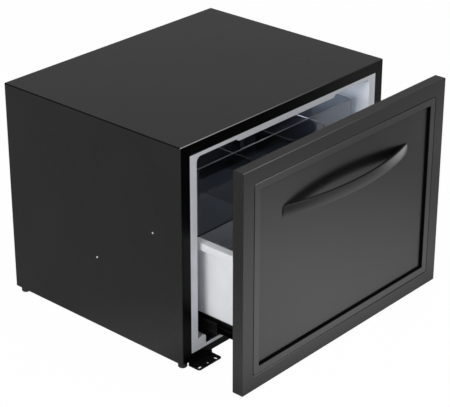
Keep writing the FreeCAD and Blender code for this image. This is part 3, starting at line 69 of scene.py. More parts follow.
# Painted shade on the front rim: a thin matt black sheet standing in for the shade and dark reflections
# in the gap behind the drawer's front
RIM_SHADE_SHEET = 0.0001
RIM_INSET = 0.0014

# Painted shade: a matt black strip on the rounded edges where the cabinet's top meets its sides,
# standing in for the dark reflection along them. Its turn is in degrees.
CABINET_EDGE = 0.0015
EDGE_SHADE_OVER = 0.00002
EDGE_SHADE_UNDER = 0.0001
EDGE_SHADE_DROP = 0.0005
EDGE_SHADE_TURN = 80

# Bow handle. Its edges are rounded by no more than a share of the bar's thickness.
HANDLE_SECTION = 0.005
HANDLE_END = 0.0015
HANDLE_EDGE = 0.0004
HANDLE_EDGE_SHARE = 0.45
HANDLE_CROWN = 0.0006
HANDLE_CORNER = 0.003
HANDLE_STATIONS = 96
HANDLE_ACROSS = 8

# Door gasket. The heights of its foot, waist and knee are shares of its depth.
GASKET_WIDTH = 0.015
GASKET_CORNER = 0.006
GASKET_LEAST_CORNER = 0.0008
GASKET_HEIGHTS = (0.25, 0.45, 0.6)
GASKET_FOLD = 0.0024
GASKET_KNEE = 0.0005
GASKET_LIP = 0.0016

# Painted highlight on the rack: a matt grey strip along the middle of each wall's top, standing in for
# the light that the clear edges catch. The dividers stand at shares of the rack's half width and reach
# to a share of its height.
RACK_WALL = 0.0025
RACK_STRIP = 0.0015
RACK_DIVIDERS = (-0.36, 0.16, 0.62)
RACK_DIVIDER_SHARE = 0.8
RACK_CORNER = 0.006
RACK_EDGE = 0.0008
BEAD_PROUD = 0.0001

# Pan-head screws, each turned some degrees on from the one before. The cross recess is wider at the
# head's top than at its floor.
SCREW_SHANK = 0.0018
SCREW_POINT = 0.0016
SCREW_DOME_STEPS = 5
SCREW_HEAD_SHARE = 0.2
SCREW_TURN = 17
CROSS_WIDTH = 0.0009
CROSS_REACH_SHARE = 0.58
CROSS_DEPTH_SHARE = 0.65
CROSS_FLOOR_SHARE = 0.7

# Camera at the photograph's angle, in degrees. Its focal length was found in pixels of the 450 wide
# picture.
PICTURE_WIDTH = 450
SENSOR = 36.0
FOCAL_PIXELS = 1604.8
SHIFT_PIXELS = -40
CAMERA_AZIMUTH = -48.164
CAMERA_ELEVATION = 24.619
CAMERA_PLACE = (-2.038624, -1.894001, 1.504878)

# Painted highlight on rounded edges: the reach along X over which it fades to its least share, and the
# product of the normal's Y and Z where it begins and where it is full
HIGHLIGHT_REACH = (-0.22, 0.14)
HIGHLIGHT_LEAST = 0.06
HIGHLIGHT_TILT = (-0.1, -0.4)

# Spans of a factor: the middle of a noise, where most of it lies, and the whole
MIDDLE = (0.3, 0.7)
WHOLE = (0.0, 1.0)

# Share of the clouds in the grained steel, where the rest is its grain
CLOUDS_IN_GRAIN = 0.8

# Studio
CABINET_MIDDLE = (0, -0.1, 0.2)
LAMPS = {
    "key_lamp": {"place": (-2.95, -0.7, 1.7), "size": 1.4, "power": 74.0},
    "top_lamp": {"place": (0.9, -1.5, 2.8), "size": 1.7, "power": 30.0},
    "cavity_lamp": {
        "place": (0.13, -0.13, 0.355),
        "aim": (0.25, -0.16, 0.31),
        "size": 0.05,
        "power": 0.07,
        "colour": (0.84, 0.9, 1.0),
    },
}
WORLD_LEVEL = 0.33
WHITE = (1.0, 1.0, 1.0, 1.0)
FLOOR_COLOUR = (0.9, 0.9, 0.9, 1.0)
FLOOR_OWN_WHITE = 0.98
FLOOR_SIZE = 30.0

# Light and dark areas of the floor, seen by glossy rays only: level inside the inner radius and level
# beyond the outer one. The lit ones are added up, and the shades multiply them.
POOL = {"centre": (0.0, -0.62, FLOOR), "radii": (0.16, 0.78), "level": 1.0, "beyond": 0.36}
SIDE_POOL = {"centre": (1.02, -0.46, FLOOR), "radii": (0.1, 0.36), "level": 1.15, "beyond": 0.0}
FAR_SHADE = {"centre": (0.0, -1.12, FLOOR), "radii": (0.1, 0.42), "level": 0.3, "beyond": 1.0}

# The shade between the drawer's front and the cabinet: middle, half sizes, soft edge, level
SHADE_MIDDLE = (0.0, -0.275, FLOOR)
SHADE_HALF = (0.285, 0.065, 1.0)
SHADE_SOFT = 0.08
SHADE_LEVEL = 0.45


# Shader nodes. Their owner is a material or the world.

def add_node(owner, kind, inputs=None, **settings):
    """A node of that kind; inputs are values or sockets to link from."""
    tree = owner.node_tree
    node = tree.nodes.new(kind)
    for name, value in settings.items():
        setattr(node, name, value)
    for name, value in (inputs or {}).items():
        if isinstance(value, bpy.types.NodeSocket):
            tree.links.new(value, node.inputs[name])
        else:
            node.inputs[name].default_value = value
    return node


def worked_out(owner, operation, first, second):
    """Result of a sum or product and the like of two values."""
    return add_node(owner, "ShaderNodeMath", {0: first, 1: second}, operation=operation).outputs["Value"]


def vector_work(owner, operation, *vectors):
    """Outputs of an operation on vectors."""
    return add_node(owner, "ShaderNodeVectorMath", dict(enumerate(vectors)), operation=operation).outputs


def mixed_shader(owner, share, first, second):
    return add_node(owner, "ShaderNodeMixShader", {"Fac": share, 1: first, 2: second}).outputs["Shader"]


def between(owner, factor, low, high, span=MIDDLE):
    """The factor's span mapped to the range from low to high."""
    inputs = {"Value": factor, "From Min": span[0], "From Max": span[1], "To Min": low, "To Max": high}
    return add_node(owner, "ShaderNodeMapRange", inputs).outputs["Result"]


def object_place(owner):
    return add_node(owner, "ShaderNodeTexCoord").outputs["Object"]


# Materials

FINISHES = {}


def shader_of(material):
    return material.node_tree.nodes["Principled BSDF"]


def new_material(name, colour, roughness, metallic=0.0, **constants):
    """Principled material with its even values on the shader's own sockets, kept as a finish."""
    material = bpy.data.materials.new(name)
    material.use_nodes = True
    shader = shader_of(material)
    shader.inputs["Base Color"].default_value = (*colour, 1.0)
    shader.inputs["Roughness"].default_value = roughness
    shader.inputs["Metallic"].default_value = metallic
    for socket, value in constants.items():
        shader.inputs[socket.replace("_", " ")].default_value = value
    material.diffuse_color = (*colour, 1.0)
    FINISHES[name] = material
    return material


def coordinates(material, stretch=(1, 1, 1)):
    """Place on the object, stretched so that a pattern can run along an axis."""
    inputs = {"Vector": object_place(material), "Scale": stretch}
    return add_node(material, "ShaderNodeMapping", inputs).outputs["Vector"]


def drawn_along(along, share):
    """Stretch of a pattern that runs along one axis."""
    return tuple(share if axis == along else 1.0 for axis in "XYZ")


def noise(material, vector, scale, detail, roughness=0.5):
    inputs = {"Vector": vector, "Scale": scale, "Detail": detail, "Roughness": roughness}
    return add_node(material, "ShaderNodeTexNoise", inputs).outputs["Fac"]


def cells(material, vector, scale):
    """The outputs of a cell pattern."""
    return add_node(material, "ShaderNodeTexVoronoi", {"Vector": vector, "Scale": scale}).outputs


def channel(material, colour, name):
    return add_node(material, "ShaderNodeSeparateColor", {"Color": colour}).outputs[name]


def link(material, output, socket):
    material.node_tree.links.new(output, shader_of(material).inputs[socket])


def painted_edge_highlight(material, paint, highlight_grey):
    """Painted highlight: a lighter grey mixed into the paint on the rounded edges that face up and
    forward, or down and back, strongest at the left and fading along X, where the lamps' highlights
    fall."""
    normal = add_node(material, "ShaderNodeNewGeometry").outputs["Normal"]
    parts = add_node(material, "ShaderNodeSeparateXYZ", {"Vector": normal}).outputs
    tilt = worked_out(material, "MULTIPLY", parts["Y"], parts["Z"])
    rounded = between(material, tilt, 0.0, 1.0, HIGHLIGHT_TILT)
    place = add_node(material, "ShaderNodeSeparateXYZ", {"Vector": object_place(material)}).outputs
    highlight_fade = between(material, place["X"], 1.0, HIGHLIGHT_LEAST, HIGHLIGHT_REACH)
    share = worked_out(material, "MULTIPLY", rounded, highlight_fade)
    inputs = {"Factor": share, "A": paint, "B": (highlight_grey, highlight_grey, highlight_grey, 1.0)}
    return add_node(material, "ShaderNodeMix", inputs, data_type="RGBA").outputs["Result"]


def tint(material, factor, colour, dark, light, span=MIDDLE, highlight_grey=0.0):
    """Base colour from a dark to a light share of itself over the factor's span, with a painted
    highlight on the rounded edges when a grey for it is given."""
    ramp = add_node(material, "ShaderNodeValToRGB", {"Fac": factor})
    for i, share in enumerate((dark, light)):
        ramp.color_ramp.elements[i].position = span[i]
        ramp.color_ramp.elements[i].color = (*(c * share for c in colour), 1.0)
    paint = ramp.outputs["Color"]
    link(material, painted_edge_highlight(material, paint, highlight_grey) if highlight_grey else paint, "Base Color")


def sheen(material, factor, low, high, span=MIDDLE):
    """Roughness from low to high over the factor's span."""
    link(material, between(material, factor, low, high, span), "Roughness")


def relief(material, *layers):
    """Bumps one over the other; each is a height and how many metres deep a height of one is."""
    normal = None
    for height, depth in layers:
        inputs = {"Height": height, "Distance": depth, "Strength": 1.0}
        if normal is not None:
            inputs["Normal"] = normal
        normal = add_node(material, "ShaderNodeBump", inputs).outputs["Normal"]
    link(material, normal, "Normal")


def coated_steel(name, colour, roughness, peel=1.0, specular=0.5, highlight_grey=0.0):
    """Baked black paint on sheet: fine orange peel, a faint wave in the sheet and a few dull clouds,
    with a painted highlight on the rounded edges when a grey for it is given.
    """
    material = new_material(name, colour, roughness, Specular_IOR_Level=specular)
    place = coordinates(material)
    clouds = noise(material, place, scale=9.0, detail=4.0)
    grain = noise(material, place, scale=1100.0, detail=2.0)
    wave = noise(material, place, scale=5.0, detail=1.0)
    tint(material, clouds, colour, dark=0.82, light=1.25, highlight_grey=highlight_grey)
    sheen(material, clouds, low=roughness - 0.02, high=roughness + 0.02, span=(0.1, 0.9))
    relief(material, (wave, 0.0004 * peel), (grain, 0.00003 * peel))


def grained_steel(name, colour, roughness, along, specular, highlight_grey=0.0):
    """Dark satin steel front: a fine grain drawn along one axis under a clear, dark coat, with a painted
    highlight on the rounded edges when a grey for it is given.
    """
    material = new_material(name, colour, roughness, Specular_IOR_Level=specular)
    lines = noise(material, coordinates(material, drawn_along(along, 0.02)), scale=3200.0, detail=1.0)
    place = coordinates(material)
    clouds = noise(material, place, scale=7.0, detail=4.0)
    wave = noise(material, place, scale=4.0, detail=1.0)
    inputs = {"Factor": CLOUDS_IN_GRAIN, "A": lines, "B": clouds}
    mixed = add_node(material, "ShaderNodeMix", inputs).outputs["Result"]
    tint(material, mixed, colour, dark=0.75, light=1.3, highlight_grey=highlight_grey)
    sheen(material, mixed, low=roughness - 0.03, high=roughness + 0.03)
    relief(material, (wave, 0.0004), (lines, 0.0000008))


def moulded(name, colour, roughness, grain=1.0, **constants):
    """Moulded plastic: fine spark grain, faint flow clouds and an uneven sheen."""
    material = new_material(name, colour, roughness, **constants)
    place = coordinates(material)
    clouds = noise(material, place, scale=14.0, detail=4.0)
    fine = noise(material, place, scale=1700.0, detail=2.0)
    tint(material, clouds, colour, dark=0.95, light=1.05)
    sheen(material, clouds, low=roughness - 0.04, high=roughness + 0.05)
    relief(material, (fine, 0.00004 * grain))


def brushed(name, colour, roughness, along):
    """Bare rolled metal with drawing lines along one axis and dull zinc clouds."""
    material = new_material(name, colour, roughness, metallic=1.0)
    stretched = coordinates(material, drawn_along(along, 0.015))
    lines = noise(material, stretched, scale=1300.0, detail=4.0, roughness=0.65)
    clouds = noise(material, coordinates(material), scale=30.0, detail=5.0, roughness=0.6)
    tint(material, clouds, colour, dark=0.8, light=1.1)
    sheen(material, lines, low=roughness - 0.08, high=roughness + 0.12)
    relief(material, (lines, 0.00002))


def spangled_zinc(name, colour, roughness):
    """Galvanised sheet: crystal patches, each with its own shade and sheen."""
    material = new_material(name, colour, roughness, metallic=1.0)
    place = coordinates(material)
    patch = channel(material, cells(material, place, scale=90.0)["Color"], "Red")
    fine = noise(material, place, scale=500.0, detail=3.0)
    tint(material, patch, colour, dark=0.82, light=1.1, span=WHOLE)
    sheen(material, patch, low=roughness - 0.08, high=roughness + 0.1, span=WHOLE)
    relief(material, (fine, 0.00003))


def foam(name, colour):
    """Cut rigid foam: open cells of two sizes."""
    material = new_material(name, colour, roughness=0.85)
    place = coordinates(material)
    small = cells(material, place, scale=700.0)["Distance"]
    large = noise(material, place, scale=60.0, detail=4.0)
    tint(material, large, colour, dark=0.8, light=1.0)
    sheen(material, large, low=0.78, high=0.92)
    relief(material, (large, 0.0008), (small, 0.0004))


def rubber(name, colour):
    """Dusty rubber with a fine grain."""
    material = new_material(name, colour, roughness=0.6)
    place = coordinates(material)
    dust = noise(material, place, scale=45.0, detail=5.0, roughness=0.6)
    fine = noise(material, place, scale=1400.0, detail=2.0)
    tint(material, dust, colour, dark=0.8, light=1.4)
    sheen(material, dust, low=0.5, high=0.72)
    relief(material, (fine, 0.00006))


def clear_plastic(name, colour, roughness):
    """Clear moulded plastic with slight flow waves."""
    material = new_material(name, colour, roughness, Transmission_Weight=1.0, IOR=1.49)
    waves = noise(material, coordinates(material), scale=22.0, detail=2.0)
    sheen(material, waves, low=roughness * 0.5, high=roughness * 1.6)
    relief(material, (waves, 0.0004))


def circuit_board(name, colour):
    """Green lacquered board with paler copper tracks under the lacquer."""
    material = new_material(name, colour, roughness=0.35)
    place = coordinates(material)
    bricks = {"Vector": place, "Scale": 60.0, "Mortar Size": 0.06, "Row Height": 0.5}
    tracks = add_node(material, "ShaderNodeTexBrick", bricks).outputs["Fac"]
    speck = noise(material, place, scale=300.0, detail=3.0)
    tint(material, tracks, colour, dark=1.0, light=2.0, span=WHOLE)
    sheen(material, speck, low=0.28, high=0.45)
    relief(material, (tracks, 0.00005))


def filling_board(name, colour):
    """Light chip board behind the front panel, its chips long in Z."""
    material = new_material(name, colour, roughness=0.8)
    chips = cells(material, coordinates(material, drawn_along("Z", 0.4)), scale=260.0)
    chip = channel(material, chips["Color"], "Green")
    tint(material, chip, colour, dark=0.6, light=1.3, span=WHOLE)
    sheen(material, chip, low=0.7, high=0.9, span=WHOLE)
    relief(material, (chips["Distance"], 0.0003))


# The cabinet's paint has a painted highlight on its rounded edges, which fades along X
coated_steel("cabinet_black", (0.0045, 0.0045, 0.005), 0.28, highlight_grey=0.32)
spangled_zinc("base_zinc", (0.55, 0.56, 0.58), 0.4)
# Near-black, barely reflecting paint for the painted shade on the rim and along the top's side edges
coated_steel("painted_shade_black", (0.0015, 0.0015, 0.0015), 0.35, peel=0.5, specular=0.1)
coated_steel("rear_black", (0.018, 0.018, 0.019), 0.5, peel=1.5)
foam("insulation", (0.80, 0.70, 0.42))
moulded("liner_grey", (0.78, 0.8, 0.85), 0.38, grain=0.6)
rubber("black_rubber", (0.014, 0.014, 0.014))
coated_steel("bracket_black", (0.003, 0.003, 0.003), 0.4, peel=1.2, specular=0.25)
brushed("screw_steel", (0.62, 0.62, 0.63), 0.32, along="X")
moulded("fan_black", (0.016, 0.016, 0.018), 0.4)
brushed("sink_aluminium", (0.78, 0.79, 0.8), 0.3, along="Z")
moulded("module_ceramic", (0.85, 0.85, 0.82), 0.55, grain=0.4)
moulded("cover_black", (0.004, 0.004, 0.005), 0.55, grain=1.4, Specular_IOR_Level=0.2)
moulded("socket_black", (0.012, 0.012, 0.012), 0.45)
rubber("lead_black", (0.012, 0.012, 0.012))
rubber("mat_black", (0.006, 0.006, 0.006))
brushed("pin_brass", (0.72, 0.6, 0.32), 0.25, along="Y")
spangled_zinc("case_zinc", (0.6, 0.61, 0.62), 0.36)
circuit_board("board_green", (0.02, 0.11, 0.04))
moulded("tray_plastic", (0.06, 0.06, 0.062), 0.45)
moulded("tube_plastic", (0.5, 0.5, 0.5), 0.4)
moulded("housing_white", (0.7, 0.71, 0.74), 0.4)
moulded(
    "lamp_diffuser", (0.9, 0.92, 0.95), 0.3, Emission_Color=(0.8, 0.88, 1.0, 1.0), Emission_Strength=2.5
)
moulded("knob_grey", (0.2, 0.2, 0.21), 0.42)
brushed("slide_steel", (0.025, 0.025, 0.026), 0.34, along="Y")
brushed("ball_steel", (0.7, 0.7, 0.7), 0.2, along="Y")
grained_steel("front_black", (0.005, 0.005, 0.005), 0.25, along="Z", specular=0.7)
# The frame's and the band's paints have painted highlights on their rounded edges
grained_steel("frame_black", (0.005, 0.005, 0.005), 0.3, along="Z", specular=0.64, highlight_grey=0.2)
grained_steel("band_black", (0.006, 0.006, 0.006), 0.3, along="Z", specular=0.95, highlight_grey=0.25)
moulded("recess_black", (0.001, 0.001, 0.001), 0.6, grain=0.5, Specular_IOR_Level=0.05)
filling_board("core_board", (0.42, 0.3, 0.18))
coated_steel("handle_black", (0.005, 0.005, 0.005), 0.24, peel=0.5, specular=0.8)
moulded("door_plastic", (0.03, 0.03, 0.033), 0.45, grain=0.8)
rubber("gasket_grey", (0.03, 0.03, 0.032))
moulded("basket_white", (0.7, 0.71, 0.74), 0.36, grain=0.6)
clear_plastic("rack_clear", (0.6, 0.63, 0.67), 0.03)
# Matt grey for the painted highlight on the clear rack's top edges
moulded("rack_highlight_grey", (0.3, 0.31, 0.32), 0.5, grain=1.5)

# Nodes whose finish differs from the rest of their slot
NODE_FINISHES = {"door_frame": "frame_black", "door_inset_frame": "band_black"}


def slot_of(node):
    for row in frame["record"]["subparts"]:
        if row["node"] == node:
            return row["material_slot"]
    raise KeyError(node)


def finish_of(node):
    """Name of a node's own finish, or else of its slot's."""
    return NODE_FINISHES.get(node, slot_of(node))


for node_name, cad_object in NODES.items():
    cad_object.data.materials.clear()
    cad_object.data.materials.append(FINISHES[finish_of(node_name)])


# Mesh tools. A shape is a list of points and a list of faces.

def arc(a, b, radius, start, end, steps=FILLET_STEPS):
    """Points of an arc about (a, b), its angles in degrees."""
    turns = [math.radians(start + (end - start) * i / steps) for i in range(steps + 1)]
    return [(a + radius * math.cos(turn), b + radius * math.sin(turn)) for turn in turns]


def round_rectangle(a0, a1, b0, b1, radius):
    """Points round a rectangle with round corners."""
    points = []
    for a, b, start in (
        (a1 - radius, b0 + radius, -90),
        (a1 - radius, b1 - radius, 0),
        (a0 + radius, b1 - radius, 90),
        (a0 + radius, b0 + radius, 180),
    ):
        points += arc(a, b, radius, start, start + 90, CORNER_STEPS)
    return points


def level_loop(box, inset, z, radius):
    """Loop at one height inside a box's sides."""
    low, high = box
    outline = round_rectangle(low.x + inset, high.x - inset, low.y + inset, high.y - inset, radius)
    return [(x, y, z) for x, y in outline]


def upright_loop(box, inset, y, radius):
    """Loop at one depth inside a box's sides, top and underside."""
    low, high = box
    outline = round_rectangle(low.x + inset, high.x - inset, low.z + inset, high.z - inset, radius)
    return [(x, y, z) for x, z in outline]


def lofted(loops, closed=False):
    """Shape of quads between loops of equal count; closed joins the last to the first, else both ends
    are capped."""
    count = len(loops[0])
    points = [point for loop in loops for point in loop]
    faces = []
    for i in range(len(loops) if closed else len(loops) - 1):
        low = i * count
        high = (i + 1) % len(loops) * count
        for j in range(count):
            k = (j + 1) % count
            faces.append((low + j, low + k, high + k, high + j))
    if not closed:
        faces.append(tuple(range(count)))
        faces.append(tuple(range(len(points) - count, len(points))))
    return points, faces


def lathed(profile):
    """Shape of a profile of (radius, height) turned about Z; a radius of zero closes an end."""
    points = []
    faces = []
    rings = []
    for radius, height in profile:
        count = TURN_STEPS if radius else 1
        rings.append(range(len(points), len(points) + count))
        for i in range(count):
            turn = 2 * math.pi * i / TURN_STEPS
            points.append((radius * math.cos(turn), radius * math.sin(turn), height))
    for low, high in zip(rings, rings[1:]):
        for i in range(TURN_STEPS):
            k = i + 1
            corners = [low[i % len(low)], low[k % len(low)], high[k % len(high)], high[i % len(high)]]
            faces.append(tuple(dict.fromkeys(corners)))
    return points, faces


def box_shape(low, high):
    """Shape of a box from its lowest to its highest corner."""
    corners = ((low[0], low[1]), (high[0], low[1]), (high[0], high[1]), (low[0], high[1]))
    return lofted([[(x, y, z) for x, y in corners] for z in (low[2], high[2])])


def joined(shapes):
    """One shape of several."""
    points = []
    faces = []
    for more_points, more_faces in shapes:
        first = len(points)
        points += more_points
        faces += [tuple(first + i for i in face) for face in more_faces]
    return points, faces


def placed(shape, places):
    """A shape set down at each of the places, as one shape."""
    points, faces = shape
    return joined([([tuple(place @ Vector(point)) for point in points], faces) for place in places])


def finished_mesh(name, shape):
    """Mesh with outward faces, smooth but for its sharp edges."""
    points, faces = shape
    mesh = bpy.data.meshes.new(name)
    mesh.from_pydata(points, [], faces)
    edited = bmesh.new()
    edited.from_mesh(mesh)
    bmesh.ops.remove_doubles(edited, verts=edited.verts, dist=WELD)
    bmesh.ops.recalc_face_normals(edited, faces=edited.faces)
    for face in edited.faces:
        face.smooth = True
    for edge in edited.edges:
        edge.smooth = edge.calc_face_angle(0.0) < SHARP_ANGLE
    edited.to_mesh(mesh)
    edited.free()
    return mesh


def solid_boxes(node):
    """Lowest and highest corner of each separate solid of a CAD node, in a steady order."""
    edited = bmesh.new()
    edited.from_mesh(NODES[node].data)
    bmesh.ops.remove_doubles(edited, verts=edited.verts, dist=WELD)
    left = set(edited.verts)
    boxes = []
    while left:
        front = [left.pop()]
        corners = []
        while front:
            vertex = front.pop()
            corners.append(vertex.co.copy())
            for edge in vertex.link_edges:
                other = edge.other_vert(vertex)
                if other in left:
                    left.remove(other)
                    front.append(other)
        low = Vector([min(c[i] for c in corners) for i in range(3)])
        high = Vector([max(c[i] for c in corners) for i in range(3)])
        boxes.append((low, high))
    edited.free()
    return sorted(boxes, key=lambda box: tuple(round(v, 4) for v in box[0]))


def new_object(name, data):
    made = bpy.data.objects.new(name, data)
    bpy.context.scene.collection.objects.link(made)
    return made


def new_piece(name, shape, body, finish):
    """Piece of a shape on a body."""
    mesh = finished_mesh(name, shape)
    mesh.materials.append(FINISHES[finish])
    piece = new_object(name, mesh)
    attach(piece, body)
    return piece


def stand_in(name, shape, body, node):
    """Piece that shows in a CAD node's place, with its finish."""
    piece = new_piece(name, shape, body, finish_of(node))
    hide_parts(node)


# Pieces on the cabinet and on the drawer

def basket():
    """Moulded tub with a broad rim, a lip that turns down, drafted walls and a rounded foot."""
    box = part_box("basket")
    low, high = box
    wall = BASKET_WALL
    edge = BASKET_EDGE
    foot = BASKET_FOOT
    outer = BASKET_RIM_WIDTH
    inner = outer + wall
    draft = BASKET_DRAFT
    lip = high.z - BASKET_LIP
    floor = low.z + wall
    inside = arc(inner + draft + foot, floor + foot, foot, 270, 180)
    rim = arc(inner - edge, high.z - edge, edge, 0, 90) + arc(edge, high.z - edge, edge, 90, 180)
    turned = arc(wall / 2, lip + wall / 2, wall / 2, 180, 360)
    under = [(wall, high.z - wall), (outer, high.z - wall)]
    outside = arc(outer + draft + foot, low.z + foot, foot, 180, 270)
    loops = []
    for inset, z in inside + rim + turned + under + outside:
        share = min(1.0, inset / outer)
        radius = BASKET_RIM_CORNER + (BASKET_CORNER - BASKET_RIM_CORNER) * share
        radius -= max(0.0, inset - outer - draft) * BASKET_CORNER_LOSS
        loops.append(level_loop(box, inset, z, radius))
    stand_in("basket_tub", lofted(loops), "drawer", "basket")


def rim_painted_shade():
    """Painted shade: a thin matt black sheet on the cabinet's front rim, between its rounded edge and
    the liner's flange, standing in for the shade and dark reflections behind the drawer's front.
    """
    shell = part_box("cabinet_shell")
    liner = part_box("inner_liner")
    back = shell[0].y + RIM_SHADE_SHEET
    front = shell[0].y - RIM_SHADE_SHEET
    loops = [upright_loop(shell, RIM_INSET, y, RIM_SHADE_SHEET) for y in (back, front)]
    loops += [upright_loop(liner, 0.0, y, RIM_SHADE_SHEET) for y in (front, back)]
    new_piece("rim_painted_shade", lofted(loops, closed=True), "cabinet", "painted_shade_black")


def top_edge_painted_shade():
    """Painted shade: a matt black strip along the rounded edges where the cabinet's top meets its sides,
    standing in for the dark reflection along them.
    """
    low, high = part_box("cabinet_shell")
    radius = CABINET_EDGE
    outer = radius + EDGE_SHADE_OVER
    inner = radius - EDGE_SHADE_UNDER
    section = [(inner, -EDGE_SHADE_DROP), (outer, -EDGE_SHADE_DROP)]
    section += arc(0, 0, outer, 0, EDGE_SHADE_TURN) + arc(0, 0, inner, EDGE_SHADE_TURN, 0)
    ends = (low.y + radius, high.y - EDGE_SHADE_UNDER)
    shade_strips = []
    for side, middle in ((-1, low.x + radius), (1, high.x - radius)):
        loops = [[(middle + side * a, y, high.z - radius + b) for a, b in section] for y in ends]
        shade_strips.append(lofted(loops))
    new_piece("top_edge_painted_shade", joined(shade_strips), "cabinet", "painted_shade_black")


def bow_handle():
    """Flat bar bent to a bow, its face faintly crowned and its edges rounded, cut off at the panel."""
    low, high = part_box("bow_handle")
    half = (high.x - low.x) / 2
    face = high.y
    sagitta = (face - low.y) - HANDLE_END
    radius = (half**2 + sagitta**2) / (2 * sagitta)
    centre = low.y + radius
    middle = (low.z + high.z) / 2
    straight = (high.z - low.z) / 2 - HANDLE_CORNER
    loops = []
    for i in range(HANDLE_STATIONS + 1):
        x = -half * math.cos(math.pi * i / HANDLE_STATIONS)
        front = centre - math.sqrt(radius**2 - x**2)
        back = min(face, centre - math.sqrt((radius - HANDLE_SECTION) ** 2 - x**2))
        past = max(0.0, abs(x) - (half - HANDLE_CORNER))
        reach = straight + math.sqrt(max(0.0, HANDLE_CORNER**2 - past**2))
        edge = min(HANDLE_EDGE, (back - front) * HANDLE_EDGE_SHARE)
        shoulder = front + HANDLE_CROWN
        section = arc(shoulder + edge, reach - edge, edge, 90, 180)
        for j in range(1, HANDLE_ACROSS):
            share = 1 - 2 * j / HANDLE_ACROSS
            section.append((shoulder - HANDLE_CROWN * (1 - share**2), (reach - edge) * share))
        section += arc(shoulder + edge, -reach + edge, edge, 180, 270)
        section += [(back, -reach), (back, reach)]
        loops.append([(x, y, middle + z) for y, z in section])
    stand_in("bow_handle_bar", lofted(loops), "drawer", "bow_handle")


def gasket():
    """Magnetic seal in section: a foot strip, two folds of bellows and a rounded head."""
    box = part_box("door_gasket")
    low, high = box
    width = GASKET_WIDTH
    fold = GASKET_FOLD
    lip = GASKET_LIP
    foot_top, waist, knee = (low.y + (high.y - low.y) * share for share in GASKET_HEIGHTS)
    profile = [(0.0, low.y), (0.0, foot_top), (fold, waist), (GASKET_KNEE, knee)]
    profile += arc(lip, high.y - lip, lip, 180, 90)
    profile += arc(width - lip, high.y - lip, lip, 90, 0)
    profile += [(width - GASKET_KNEE, knee), (width - fold, waist), (width, foot_top), (width, low.y)]
    loops = []
    for inset, y in profile:
        radius = max(GASKET_CORNER - inset, GASKET_LEAST_CORNER)
        loops.append(upright_loop(box, inset, y, radius))
    stand_in("door_seal", lofted(loops, closed=True), "drawer", "door_gasket")


def rack_edge_highlights():
    """Painted highlight: thin matt grey beads on the top edges of the clear rack's walls and dividers,
    standing in for the light that those clear edges catch.
    """
    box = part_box("clear_rack")
    low, high = box
    half = RACK_STRIP / 2
    outer = RACK_WALL / 2 - half
    inner = RACK_WALL / 2 + half
    top = high.z + BEAD_PROUD
    under = high.z - RACK_EDGE
    corners = ((outer, under), (outer, top), (inner, top), (inner, under))
    loops = [level_loop(box, inset, z, RACK_CORNER - inset) for inset, z in corners]
    beads = [lofted(loops, closed=True)]
    step = low.z + (high.z - low.z) * RACK_DIVIDER_SHARE
    for share in RACK_DIVIDERS:
        x = high.x * share
        lowest = (x - half, low.y + RACK_WALL, step - RACK_EDGE)
        highest = (x + half, high.y - RACK_WALL, step + BEAD_PROUD)
        beads.append(box_shape(lowest, highest))
    new_piece("rack_edge_highlights", joined(beads), "drawer", "rack_highlight_grey")


# Screws

def screw_shape(name, head, height, length):
    """Pan-head screw along -Z from its head on zero, with a cross recess cut into the dome."""
    radius = head / 2
    turns = [math.pi / 2 * i / SCREW_DOME_STEPS for i in range(SCREW_DOME_STEPS)]
    dome = [(radius * math.cos(turn), height * math.sin(turn)) for turn in turns]
    profile = [(0.0, -length), (SCREW_SHANK, -length + SCREW_POINT), (SCREW_SHANK, 0.0)]
    screw = new_object(name, finished_mesh(name, lathed(profile + dome + [(0.0, height)])))
    floor = height * (1 - CROSS_DEPTH_SHARE)
    reach = radius * CROSS_REACH_SHARE
    corners = []
    for x, y in ((1, 1), (-1, 1), (-1, -1), (1, -1)):
        wide = (reach * x, CROSS_WIDTH / 2 * y)
        tall = (CROSS_WIDTH / 2 * x, reach * y)
        inner = (CROSS_WIDTH / 2 * x, CROSS_WIDTH / 2 * y)
        corners += [wide, inner, tall] if x == y else [tall, inner, wide]
    loops = []
    for share, z in ((CROSS_FLOOR_SHARE, floor), (1.0, height), (1.0, 2 * height)):
        loops.append([(x * share, y * share, z) for x, y in corners])
    cross = name + "_cross"
    cutter = new_object(cross, finished_mesh(cross, lofted(loops)))
    recess = screw.modifiers.new("recess", "BOOLEAN")
    recess.operation = "DIFFERENCE"
    recess.solver = "EXACT"
    recess.object = cutter
    graph = bpy.context.evaluated_depsgraph_get()
    cut = bpy.data.meshes.new_from_object(screw.evaluated_get(graph))
    points = [tuple(vertex.co) for vertex in cut.vertices]
    faces = [tuple(polygon.vertices) for polygon in cut.polygons]
    for made in (screw, cutter):
        bpy.data.objects.remove(made)
    return points, faces


def screws(node, outward):
    """Cross-recessed screws on the cabinet at a node's solids, which are all of one size. Outward gives
    the way that a head faces from its screw's middle."""
    places = []
    for i, (low, high) in enumerate(solid_boxes(node)):
        middle = (low + high) / 2
        way = Vector(outward(middle))
        size = high - low
        along = max(range(3), key=lambda axis: abs(way[axis]))
        head = max(size[axis] for axis in range(3) if axis != along)
        length = size[along]
        top = middle + way * length / 2
        turn = Matrix.Rotation(math.radians(SCREW_TURN * i), 4, "Z")
        places.append(Matrix.Translation(top) @ way.to_track_quat("Z", "Y").to_matrix().to_4x4() @ turn)
    height = length * SCREW_HEAD_SHARE
    shape = screw_shape(node, head, height, length - height)
    lowered = [place @ Matrix.Translation((0, 0, -height)) for place in places]
    stand_in(node + "_cross_headed", placed(shape, lowered), "cabinet", node)


basket()
rim_painted_shade()
top_edge_painted_shade()
bow_handle()
gasket()
screws("side_screws", lambda middle: (math.copysign(1, middle.x), 0, 0))
screws("rear_screws", lambda middle: (0, 1, 0))
screws("bracket_screws", lambda middle: (0, 0, -1))
screws("cover_screws", lambda middle: (0, -1, 0))
rack_edge_highlights()


